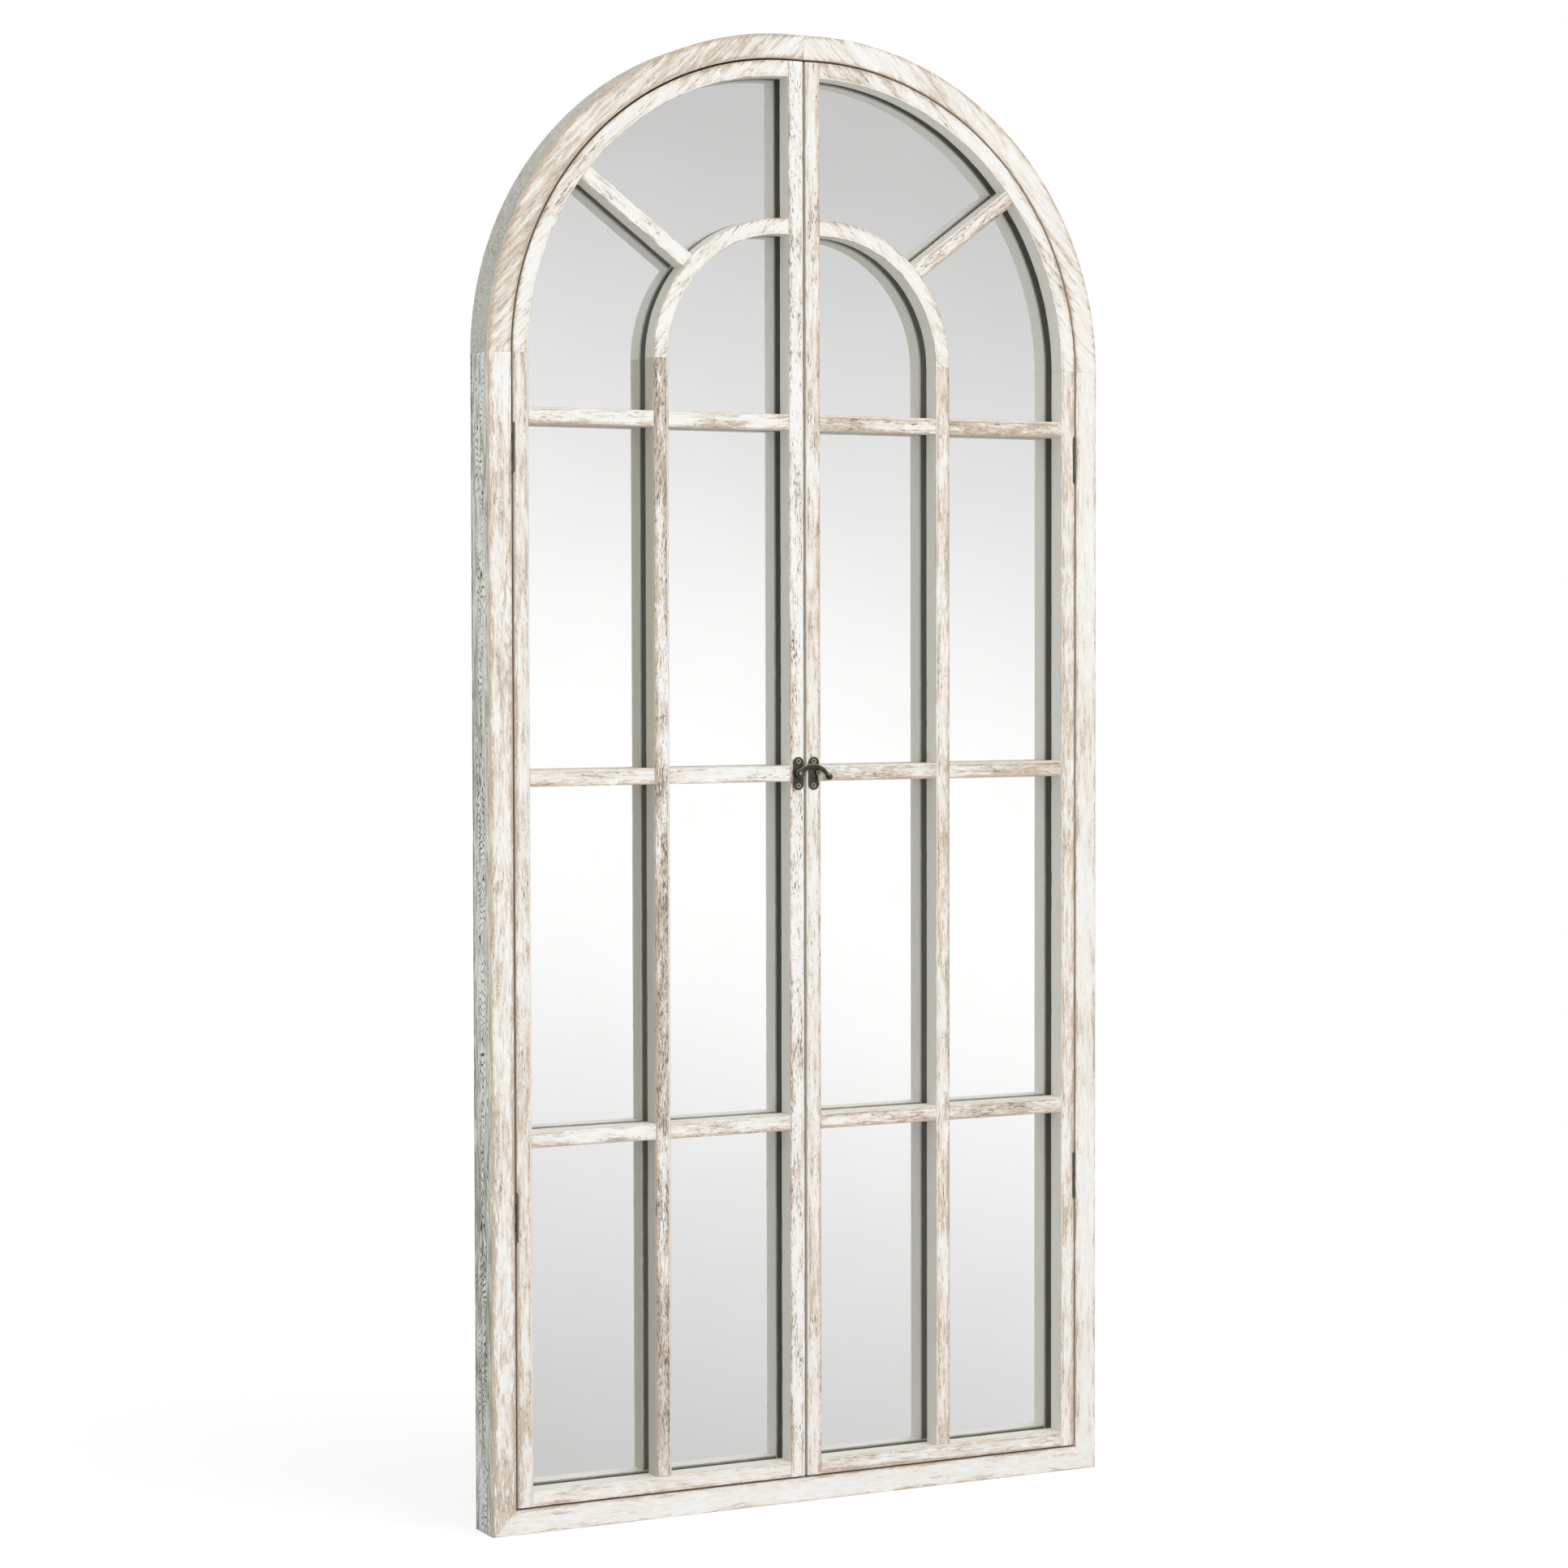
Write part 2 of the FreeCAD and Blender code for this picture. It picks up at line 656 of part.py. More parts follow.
# Catch: a wire that stands out from the plate, turns up and ends in a curl under the hook's bar
curl_top = arc_radius - hook_width(catch_turn) / 2 - hook_rest_gap
curl_middle = arc_middle + hook_way(catch_turn) * (curl_top - catch_ring_radius - catch_wire_radius)
curl = Part.makeTorus(catch_ring_radius, catch_wire_radius, curl_middle, inwards)
elbow = Vector(curl_middle.x, hook_y, latch_height - catch_stem_drop)
elbow_ball = Part.makeSphere(catch_wire_radius, elbow)
stem_foot = Vector(elbow.x, front - plate_thickness / 2, elbow.z)
stem = Part.makeCylinder(catch_wire_radius, (stem_foot - elbow).Length, stem_foot, outwards)
riser_length = curl_middle.z - catch_ring_radius - elbow.z
riser = Part.makeCylinder(catch_wire_radius, riser_length, elbow, up)
catch_pieces = [stem, elbow_ball, riser, curl]
catch_plate = latch_plate(catch_x).multiFuse(catch_pieces).removeSplitter()
export("catch_plate", [catch_plate])
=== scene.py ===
import bmesh
import bpy
import numpy as np
from mathutils import Matrix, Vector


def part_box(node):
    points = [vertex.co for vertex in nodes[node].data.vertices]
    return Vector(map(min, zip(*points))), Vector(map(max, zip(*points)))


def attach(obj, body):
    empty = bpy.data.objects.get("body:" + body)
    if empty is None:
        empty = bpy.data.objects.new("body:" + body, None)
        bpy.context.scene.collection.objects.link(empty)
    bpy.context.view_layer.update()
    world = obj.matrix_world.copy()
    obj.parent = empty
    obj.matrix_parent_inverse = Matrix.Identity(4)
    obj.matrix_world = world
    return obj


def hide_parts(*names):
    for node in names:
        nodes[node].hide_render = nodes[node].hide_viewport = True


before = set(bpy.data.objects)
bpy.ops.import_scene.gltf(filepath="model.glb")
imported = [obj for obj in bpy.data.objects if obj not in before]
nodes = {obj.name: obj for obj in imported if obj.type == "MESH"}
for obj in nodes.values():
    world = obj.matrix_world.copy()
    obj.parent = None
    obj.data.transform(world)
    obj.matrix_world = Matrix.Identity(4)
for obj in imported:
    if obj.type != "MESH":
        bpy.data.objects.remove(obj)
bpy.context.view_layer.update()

# Outer frame: two stiles, a bottom rail mitred to them and two quarter arches, all of one
# section of pine with a door stop and a glass rebate, glued and dowelled, painted warm white
# and then rubbed back to the wood along its arrises and its grain.
MM = 0.001
ROW_STEP = 4 * MM
END_ROWS = np.array([0, 0.5, 1.2, 2.4]) * MM
ARC_STEPS = 4
SIDE_MARGIN = 2.6 * MM
SIDE_STEP = 6 * MM
WALL = 0.1 * MM
MITRE_ROOM = 80 * MM
FAR = 20 * MM
GRAIN_SHIFT = np.array([0.731, 0.373, 0.197])
SLANT_DRAW = 0.8
UP, TO_RIGHT, QUARTER = np.pi / 2, 0.0, np.pi / 2
BOARD_SLANT = 0.75 * np.pi


def linear(colour):
    """Linear RGBA of an sRGB hex colour: each channel goes through the sRGB curve."""
    c = np.array([int(colour[i : i + 2], 16) for i in (1, 3, 5)]) / 255
    c = np.where(c <= 0.04045, c / 12.92, ((c + 0.055) / 1.055) ** 2.4)
    return (*c.tolist(), 1.0)


def add(tree, kind, inputs=None, stops=(), **settings):
    """Adds a node: settings are its options, inputs are socket values or the sockets linked to
    them, and stops are the places and colours of a colour ramp."""
    node = tree.nodes.new(kind)
    for name, value in settings.items():
        setattr(node, name, value)
    for name, value in (inputs or {}).items():
        if isinstance(value, bpy.types.NodeSocket):
            tree.links.new(value, node.inputs[name])
        else:
            node.inputs[name].default_value = value
    for i, (place, colour) in enumerate(stops):
        elements = node.color_ramp.elements
        element = elements[i] if i < 2 else elements.new(place)
        element.position = place
        element.color = linear(colour)
    return node


def new_material(name):
    """A material with an output and a principled shader, its node tree and that shader."""
    made = bpy.data.materials.new(name)
    made.use_nodes = True
    made.node_tree.nodes.clear()
    shader = add(made.node_tree, "ShaderNodeBsdfPrincipled")
    add(made.node_tree, "ShaderNodeOutputMaterial", {"Surface": shader.outputs[0]})
    return made, made.node_tree, shader


# Worn painted pine: matt warm white brushed paint over planed softwood, rubbed through in soft
# stains, short scratches along the grain and dark open pores, and down to the wood on its arrises.
CREAM, CHALK, GRAIN_LINE = "#f8f3ec", "#fdfcfb", "#43463c"
# Layers over the cream paint: colour, amounts at which each starts and is full, and how much it hides
LAYERS = {
    "stain": ("#e3d5c6", 0.95, 1.22, 1.0),
    "scratch": ("#bca795", 1.19, 1.30, 0.8),
    "chalk": (CHALK, 0.24, 0.36, 0.95),
    "side_paint": ("#f7f6f0", 0.0, 1.0, 0.8),
    # Painted shade: a grey laid on the sides whose facing passes 1, set per door member and on the arches'
    # outer sides
    "side_shade": ("#b5b0a2", 1.0, 2.0, 1.0),
    "pore": ("#6b6760", 1.10, 1.19, 0.85),
    "weathered": ("#b7b5aa", 1.25, 1.5, 0.9),
    "ring": (GRAIN_LINE, 1.45, 1.54, 0.95),
    "frayed": (GRAIN_LINE, 1.36, 1.54, 0.8),
    "dark_streak": (GRAIN_LINE, 1.48, 1.65, 0.5),
    "pale_streak": (CHALK, 0.3, 0.45, 0.6),
    "lip": (CHALK, 0.7 * MM, 0.2 * MM, 0.9),
    "bare_arris": ("#d0b49e", -FAR - 1.3 * MM, -FAR - 1.9 * MM, 0.7),
    "shut_seam": ("#a3998b", 0.5 * MM, 0.1 * MM, 0.3),
    # Painted shade and bare wood: dark grey on the backs, and painted shade at about half on the walls of the
    # gaps
    "bare_back_and_painted_shade": ("#8a897f", 0.0, 1.0, 0.95),
}
# Lengths along and across the grain, in millimetres, and detail of each pattern in the finish
PATTERNS = {
    "zone": (170, 45, 3), "cluster": (55, 12, 3), "stain": (34, 4, 6), "scratch": (7, 0.7, 4),
    "chalk": (16, 2.2, 5), "pore": (8, 1.2, 2), "wear": (14, 3, 5), "figure": (110, 15, 2),
    "fibre": (25, 0.9, 3),
}
# Width of the rubbed rim, the depths between which an arris stops being a rear one, and the
# distances over which the paint that laps onto the back ends
RIM = 5 * MM
REAR = (-8 * MM, -12 * MM)
LAP = (2.0 * MM, 1.2 * MM)
painted_pine, tree, shader = new_material("worn_painted_pine")
attribute = {
    name: add(tree, "ShaderNodeAttribute", attribute_name=name).outputs["Vector"]
    for name in ("grain", "worn", "facing", "finish")
}
edge, end, chipped = add(tree, "ShaderNodeSeparateXYZ", {0: attribute["worn"]}).outputs
side, outer, back = add(tree, "ShaderNodeSeparateXYZ", {0: attribute["facing"]}).outputs
tan, dark, white = add(tree, "ShaderNodeSeparateXYZ", {0: attribute["finish"]}).outputs
noise = {}
for name, (along, across, detail) in PATTERNS.items():
    stretch = (1 / (along * MM), 1 / (across * MM), 1 / (across * MM))
    turned = add(tree, "ShaderNodeMapping", {"Vector": attribute["grain"], "Scale": stretch}).outputs[0]
    pattern = {"Vector": turned, "Scale": 1.0, "Detail": detail, "Roughness": 0.6}
    noise[name] = add(tree, "ShaderNodeTexNoise", pattern).outputs[0]


def weigh(base, *terms):
    """A sum of sockets, each times its own weight, on top of a base, in the tree being made."""
    total = base
    for weight, socket in terms:
        step = {0: socket, 1: weight, 2: total}
        total = add(tree, "ShaderNodeMath", step, operation="MULTIPLY_ADD").outputs[0]
    return total


def coat(below, layer, amount):
    """A layer laid over the colour below it, where an amount passes from its start to its full."""
    tone, low, high, most = LAYERS[layer]
    ramp = {0: amount, 1: low, 2: high, 4: most}
    shown = add(tree, "ShaderNodeMapRange", ramp, interpolation_type="SMOOTHSTEP").outputs[0]
    mixed = {0: shown, 6: below, 7: linear(tone)}
    return add(tree, "ShaderNodeMix", mixed, data_type="RGBA").outputs[2]


rim = add(tree, "ShaderNodeMapRange", {0: edge, 1: RIM, 2: 0.0}).outputs[0]
stain = weigh(noise["stain"], (0.45, noise["zone"]), (0.4, noise["cluster"]))
stain = weigh(stain, (0.3, tan), (0.18, rim), (-0.1, side))
colour = coat(linear(CREAM), "stain", stain)
scratch = weigh(noise["scratch"], (0.6, stain), (0.05, rim), (-0.05, side))
colour = coat(colour, "scratch", scratch)
chalk = weigh(noise["chalk"], (0.25, white), (-0.4, noise["zone"]), (-0.4, noise["cluster"]), (-0.1, rim))
colour = coat(colour, "chalk", chalk)
colour = coat(colour, "side_paint", side)
# Painted shade greys the sides, by how far their facing passes 1
colour = coat(colour, "side_shade", side)
pore = weigh(noise["pore"], (0.35, dark), (0.6, noise["cluster"]), (-0.15, side))
colour = coat(colour, "pore", pore)
weathered = weigh(noise["stain"], (0.6, outer), (0.15, rim), (0.5, noise["zone"]))
colour = coat(colour, "weathered", weathered)
# Growth rings on the outer faces: nested arches, closer together towards the arrises
RING_LENGTH, RING_SPREAD = 9 * MM, 6.5 * MM
along = add(tree, "ShaderNodeSeparateXYZ", {0: attribute["grain"]}).outputs[0]
depth = add(tree, "ShaderNodeSeparateXYZ", {0: add(tree, "ShaderNodeTexCoord").outputs["Object"]}).outputs[1]
spread = add(tree, "ShaderNodeMath", {0: depth, 1: depth}, operation="MULTIPLY").outputs[0]
figure = weigh(0.0, (1 / RING_LENGTH, along), (1 / RING_SPREAD**2, spread), (12.0, noise["figure"]))
figure = add(tree, "ShaderNodeMath", {0: figure, 1: 0.5}, operation="PINGPONG").outputs[0]
figure = weigh(figure, (0.5, noise["scratch"]), (0.3, noise["stain"]), (0.25, noise["zone"]))
figure = weigh(figure, (0.6, outer))
colour = coat(colour, "ring", figure)
frayed = weigh(noise["wear"], (0.5, rim), (0.6, outer))
colour = coat(colour, "frayed", frayed)
# Sawn streaks on the outside of the arches, where the grain runs across the bend
bend = add(tree, "ShaderNodeMath", {0: side, 1: outer, 2: -1.0}, operation="MULTIPLY_ADD").outputs[0]
streak = weigh(noise["scratch"], (1.2, noise["fibre"]), (1.0, bend))
colour = coat(colour, "dark_streak", streak)
streak = weigh(noise["chalk"], (-1.2, noise["fibre"]), (1.0, bend))
colour = coat(colour, "pale_streak", streak)
# The rear arrises keep their paint, which laps a little way round onto the back before the back's dark grey
# of painted shade and bare wood begins
forward = add(tree, "ShaderNodeMapRange", {0: depth, 1: REAR[0], 2: REAR[1]}).outputs[0]
lip = weigh(edge, (FAR, forward), (FAR, outer))
colour = coat(colour, "lip", lip)
ahead = add(tree, "ShaderNodeMath", {0: forward, 1: outer}, operation="MAXIMUM").outputs[0]
rub = weigh(edge, (-3 * MM, noise["wear"]), (-0.8, chipped), (-FAR, ahead))
colour = coat(colour, "bare_arris", rub)
colour = coat(colour, "shut_seam", end)
# The backs are laid dark grey, as painted shade and bare wood, and the gap walls at about half, as painted
# shade
lap = add(tree, "ShaderNodeMapRange", {0: edge, 1: LAP[0], 2: LAP[1]}).outputs[0]
colour = coat(colour, "bare_back_and_painted_shade", weigh(back, (-1.0, lap)))
rough = add(tree, "ShaderNodeMapRange", {0: noise["stain"], 1: 0.3, 2: 0.7, 3: 0.55, 4: 0.8}).outputs[0]
relief = weigh(noise["fibre"], (0.8, noise["scratch"]))
bump = add(tree, "ShaderNodeBump", {"Height": relief, "Strength": 0.5, "Distance": 0.4 * MM}).outputs[0]
tree.links.new(colour, shader.inputs["Base Color"])
tree.links.new(rough, shader.inputs["Roughness"])
tree.links.new(bump, shader.inputs["Normal"])
shader.inputs["Specular IOR Level"].default_value = 0.25


def wander(rng, along, step):
    """A line that wanders between 0 and 1: random heights at even steps, joined by smooth ramps."""
    knots = rng.random(int(along.max() / step) + 3)
    i = (along / step).astype(int)
    f = along / step - i
    f = f * f * (3 - 2 * f)
    return knots[i] * (1 - f) + knots[i + 1] * f


def between(value, low, high):
    """1 between two values and 0 outside them, with a ramp as steep as a routed wall."""
    return np.clip((value - low) / WALL, 0, 1) * np.clip((high - value) / WALL, 0, 1)


def follow(path, s):
    """Points and left-hand normals at lengths s of a path in the XZ plane: from a start, on a
    heading, it turns left on a radius by an angle and then goes straight on. An angle of 0 is a
    straight path."""
    start, heading, radius, turn = path
    h = np.array([np.cos(heading), np.sin(heading)])
    n = np.array([-h[1], h[0]])
    a = np.clip(s / radius, 0, turn)[..., None]
    ahead = np.cos(a) * h + np.sin(a) * n
    left = np.cos(a) * n - np.sin(a) * h
    arc = radius * (np.sin(a) * h + (1 - np.cos(a)) * n)
    return np.array(start) + arc + (s[..., None] - radius * a) * ahead, left


# How much a face of a board is a side, an outer side and a back. Past 1 a side is greyed with painted shade,
# as on the arches' outer sides, and the back's share is a dark grey of painted shade and bare wood, laid
# about half as strong on the walls of the gaps round the doors
FACING = {
    "front": (0, 0, 0), "side": (1, 0, 0), "outer": (1, 1, 0), "bent": (1.65, 0.8, 0),
    "gap": (1, 0, 0.55), "back": (1, 0, 1),
}


def section_loop(corners, eased, sides, extra=None):
    """The loop round a section whose corners are square, each given by width and depth. Returns
    every point's place, how it moves per unit of easing, its corner, the corner whose arris is
    the nearest, the distance from that arris, and the way that its side faces. An eased corner
    is a quarter round from the side before it to the side after it, and extra adds points to a
    side by their distance from its corner."""
    corners = np.array(corners)
    facing = np.array([FACING[name] for name in sides], float)
    loop = []
    for i, here in enumerate(corners):
        j = (i + 1) % len(corners)
        last, ahead = corners[i - 1], corners[j]
        length = np.abs(ahead - here).sum()
        way_in = (here - last) / np.abs(here - last).sum()
        way_out = (ahead - here) / length
        turn = np.linspace(0, QUARTER, ARC_STEPS + 1 if eased[i] else 1)
        move = np.outer(np.sin(turn) - 1, way_in) + np.outer(1 - np.cos(turn), way_out)
        gap = np.full(len(turn), 0 if eased[i] else FAR)
        paler = i - 1 if facing[i - 1][2] < facing[i][2] else i
        turned = np.tile(facing[paler], (len(turn), 1))
        loop.append((here + 0 * move, move * eased[i], 0 * turn + i, 0 * turn + i, gap, turned))
        count = max(2, int(np.ceil((length - 2 * SIDE_MARGIN) / SIDE_STEP)) + 1)
        t = np.linspace(SIDE_MARGIN, length - SIDE_MARGIN, count)
        t = np.array([length / 2]) if length < 2.5 * SIDE_MARGIN else t
        t = np.unique(np.concatenate([t, (extra or {}).get(i, [])]))
        near = t if eased[i] else 0 * t + FAR
        far = length - t if eased[j] else 0 * t + FAR
        place = here + t[:, None] * way_out
        nearest = np.where(near <= far, i, j)
        gap = np.minimum(np.minimum(near, far), FAR)
        loop.append((place, 0 * place, 0 * t + i, nearest, gap, np.tile(facing[i], (len(t), 1))))
    return [np.concatenate(part) for part in zip(*loop)]


def closed_mesh(name, grid, smooth):
    """A closed tube from a grid of rings: quads between the rings and a face at each end, turned
    outwards by the sign of the volume that they enclose. smooth says which strips are round."""
    rows, around = grid.shape[:2]
    i, j = np.meshgrid(np.arange(rows - 1), np.arange(around), indexing="ij")
    k = (j + 1) % around
    quads = np.stack([i * around + j, i * around + k, i * around + around + k, i * around + around + j], -1)
    quads = quads.reshape(-1, 4)
    points = grid.reshape(-1, 3)
    a, b, c, d = (points[quads[:, m]] for m in range(4))
    volume = (np.cross(b, c) * a).sum() + (np.cross(c, d) * a).sum()
    for ring, sign in ((grid[0], -1), (grid[-1], 1)):
        volume += sign * (np.cross(ring, np.roll(ring, -1, 0)) @ ring.mean(0)).sum()
    ends = [np.arange(around)[::-1], (rows - 1) * around + np.arange(around)]
    if volume < 0:
        quads, ends = quads[:, ::-1], [end[::-1] for end in ends]
    mesh = bpy.data.meshes.new(name)
    mesh.from_pydata(points.tolist(), [], quads.tolist() + [end.tolist() for end in ends])
    mesh.polygons.foreach_set("use_smooth", np.concatenate([np.tile(smooth, rows - 1), [False, False]]))
    return mesh


def put_in_place(mesh, material, body, node):
    """Makes a mesh a piece of one material that rides on a body in place of a CAD node."""
    mesh.materials.append(material)
    piece = bpy.data.objects.new(mesh.name, mesh)
    bpy.context.scene.collection.objects.link(piece)
    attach(piece, body)
    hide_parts(node)


# Rounding of an arris at the ends of a board, in millimetres, what slow wear and chips add to it, and
# the lengths over which chips, runs of chips and slow wear change. Each end stays crisp.
EASE, WEAR_LEAST, WEAR_SWING, CHIP_FROM, CHIP_DEPTH = 0.3, -0.1, 0.3, 0.66, 3.4
CHIP_STEP, CHIP_RUN, WEAR_STEP, CRISP_END = 9 * MM, 70 * MM, 38 * MM, 8 * MM


def worn_board(node, body, number, path, length, section, finish, trims=(0, 0), slant=None, mirror=False,
               routed=None, hollow=None, side_shade=0.0):
    """A board of painted pine in place of its CAD node: the section is carried along the path,
    and each arris is rounded by a radius that wanders along it. number seeds that wear and shifts
    the grain, finish says how stained, how dark in the pores and how white the board is, trims are
    what an end loses at each width, slant is a fixed heading of the grain, routed sinks the back
    and hollow scoops an arris, each between given lengths, and the last argument is how grey the
    sides are made with painted shade. The mesh carries four attributes: grain, the lengths along
    and across the grain, worn, the distances from an arris and from an end and that arris's
    rounding, facing, which also sets the painted shade on sides, backs and gap walls, and finish."""
    rng = np.random.default_rng(number)
    corners, eased, sides = section
    extra = routed and routed["widths"]
    place, move, owner, nearest, edge_gap, facing = section_loop(corners, eased, sides, extra)
    facing[:, 0] *= 1 + side_shade
    rows = [END_ROWS, length - END_ROWS, np.arange(ROW_STEP, length - ROW_STEP / 2, ROW_STEP)]
    cuts = np.array([at for cut in (routed, hollow) if cut for at in cut["rows"]])
    rows += [cuts - WALL / 2, cuts + WALL / 2]
    row = np.unique(np.round(np.concatenate(rows), 6))
    end_gap = np.minimum(row, length - row)
    ease = np.empty((len(row), len(corners)))
    for i in range(len(corners)):
        chip = np.clip(wander(rng, row, CHIP_STEP) - CHIP_FROM, 0, 1)
        chip = chip * CHIP_DEPTH * wander(rng, row, CHIP_RUN)
        loss = WEAR_SWING * wander(rng, row, WEAR_STEP) + WEAR_LEAST + chip
        ease[:, i] = (EASE + np.clip(end_gap / CRISP_END, 0, 1) * loss) * MM
    owner, nearest = owner.astype(int), nearest.astype(int)
    wd = place + move * ease[:, owner, None]
    if hollow:
        scooped = np.flatnonzero((owner == hollow["corner"]) & (edge_gap == 0))
        low, high = np.array(hollow["rows"]).reshape(-1, 2).T
        inside = ((row[:, None] > low) & (row[:, None] < high)).any(1)
        wd[np.ix_(inside, scooped)] = place[scooped] + hollow["shape"](np.linspace(0, 1, len(scooped)))
    if routed:
        wd[..., 1] -= routed["depth"](row[:, None], place[:, 0]) * (facing[:, 2] == 1)
    lost = [np.broadcast_to(trim(place[:, 0]) if callable(trim) else trim, len(place)) for trim in trims]
    s = row[:, None] + np.clip(1 - row / MITRE_ROOM, 0, 1)[:, None] * lost[0]
    s = s - np.clip(1 - (length - row) / MITRE_ROOM, 0, 1)[:, None] * lost[1]
    point, left = follow(path, s)
    x, z = np.moveaxis(point + left * wd[..., :1], -1, 0)
    along, across = s, wd[..., 0]
    if slant is not None:
        along = SLANT_DRAW * (np.cos(slant) * x + np.sin(slant) * z)
        across = np.cos(slant) * z - np.sin(slant) * x
    smooth = (np.roll(owner, -1) == owner) & (edge_gap == 0) & (np.roll(edge_gap, -1) == 0)
    mesh = closed_mesh(node + "_worn", np.stack([-x if mirror else x, wd[..., 1], z], -1), smooth)
    layers = {
        "grain": np.stack([along, across, wd[..., 1]], -1) + GRAIN_SHIFT * number,
        "worn": np.stack(np.broadcast_arrays(edge_gap, end_gap[:, None], ease[:, nearest]), -1),
        "facing": np.broadcast_to(facing, wd.shape[:2] + (3,)),
        "finish": np.broadcast_to(finish, wd.shape[:2] + (3,)),
    }
    for title, value in layers.items():
        layer = mesh.attributes.new(title, "FLOAT_VECTOR", "POINT")
        layer.data.foreach_set("vector", value.astype(np.float32).ravel())
    put_in_place(mesh, painted_pine, body, node)


STOP_GAP, BOARD_GAP = 0.7 * MM, 0.6 * MM
stile_low, stile_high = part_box("frame_right_stile")
arch_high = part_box("frame_right_arch")[1]
glass_low, glass_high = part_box("mirror_glass")
leaf_low, leaf_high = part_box("upper_right_hinge_frame_leaf")
door_low, door_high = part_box("right_door_outer_stile")
meeting_low, meeting_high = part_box("right_door_meeting_stile")
frame_half, springing = stile_high.x, stile_high.z
arch_radius = arch_high.z - springing
arch_run = frame_half - arch_radius
face = frame_half - leaf_high.x
stop_edge = frame_half - stile_low.x
board_edge = frame_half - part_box("backing_board")[1].x - BOARD_GAP
stop_front = door_high.y + STOP_GAP
frame_section = (
    [
        (0, stile_low.y), (face, stile_low.y), (face, stop_front), (stop_edge, stop_front),
        (stop_edge, glass_low.y), (face, glass_low.y), (face, glass_high.y),
        (board_edge, glass_high.y), (board_edge, stile_high.y), (0, stile_high.y),
    ],
    (1, 0.5, 0, 0.6, 0, 0, 0, 0, 0.6, 1),
    ("front", "gap", "gap", "side", "back", "side", "back", "side", "back", "outer"),
)
arch_section = frame_section[:2] + (frame_section[2][:-1] + ("bent",),)
# Seat and pocket routed in each stile's back, side 8 of its section, for a keyhole hanger plate
SEAT_ROOM, POCKET_HALF, POCKET_REACH, POCKET_DEPTH = 0.15 * MM, 5.5 * MM, 11.5 * MM, 8 * MM
BACK_SIDE, SEAT_PLAY = 8, 0.02 * MM
plate_low, plate_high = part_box("right_hanger_plate")
plate_middle = (plate_low + plate_high) / 2
seat_width = (frame_half - plate_high.x - SEAT_ROOM, frame_half - plate_low.x + SEAT_ROOM)
seat_height = (plate_low.z - SEAT_ROOM, plate_high.z + SEAT_ROOM)
pocket_width = (frame_half - plate_middle.x - POCKET_HALF, frame_half - plate_middle.x + POCKET_HALF)
pocket_height = (plate_middle.z - POCKET_REACH, plate_middle.z + POCKET_REACH)
seat_depth = stile_high.y - plate_low.y + SEAT_PLAY
seat_walls = board_edge - np.array(seat_width + pocket_width)
hanger_seat = {
    "rows": seat_height + pocket_height,
    "widths": {BACK_SIDE: np.concatenate([seat_walls - WALL / 2, seat_walls + WALL / 2])},
    "depth": lambda row, w: seat_depth * between(row, *seat_height) * between(w, *seat_width)
    + POCKET_DEPTH * between(row, *pocket_height) * between(w, *pocket_width),
}
# How stained, how dark in the pores and how white the frame's boards are
FRAME_FINISH = {
    "left_stile": (0.55, 0.3, 0.6), "right_stile": (0.0, 0.15, 0.6), "left_arch": (0.65, 0.2, 0.4),
    "right_arch": (0.15, 0.1, 0.6), "bottom_rail": (0.05, 0.2, 0.6),
}
# Each side of the object, and whether it is made as the mirror image of the right one
SIDES = (("left", True), ("right", False))
for number, (side, mirror) in enumerate(SIDES):
    worn_board(f"frame_{side}_stile", "frame", 1 + number, ((frame_half, 0), UP, 1, 0), springing,
               frame_section, FRAME_FINISH[side + "_stile"], trims=(lambda w: w, 0), mirror=mirror,
               routed=hanger_seat)
    worn_board(f"frame_{side}_arch", "frame", 3 + number, ((frame_half, springing), UP, arch_radius, QUARTER),
               arch_radius * QUARTER + arch_run, arch_section, FRAME_FINISH[side + "_arch"],
               slant=BOARD_SLANT, mirror=mirror)
worn_board("frame_bottom_rail", "frame", 5, ((-frame_half, 0), TO_RIGHT, 1, 0), 2 * frame_half, frame_section,
           FRAME_FINISH["bottom_rail"], trims=(lambda w: w, lambda w: w))

# Dowels: round beech pins glued across the frame's mitres, springings and crown. They are
# shut inside the joints, so their bare wood only shows in the parts on their own.
beech, tree, shader = new_material("bare_beech")
place = add(tree, "ShaderNodeTexCoord").outputs["Object"]
FLECK = (1 / (1 * MM), 1 / (1 * MM), 1 / (8 * MM))
stretch = add(tree, "ShaderNodeMapping", {"Vector": place, "Scale": FLECK}).outputs[0]
fleck = add(tree, "ShaderNodeTexNoise", {"Vector": stretch, "Scale": 1.0, "Detail": 2.0}).outputs[0]
tone = add(tree, "ShaderNodeValToRGB", {0: fleck}, [(0.35, "#b58f63"), (0.65, "#d3b083")]).outputs[0]
tree.links.new(tone, shader.inputs["Base Color"])
shader.inputs["Roughness"].default_value = 0.7


def dress(material, *names):
    """Gives CAD nodes a material of their own in place of the plain one that they came with."""
    for name in names:
        nodes[name].data.materials.clear()
        nodes[name].data.materials.append(material)


dress(beech, "frame_dowels")

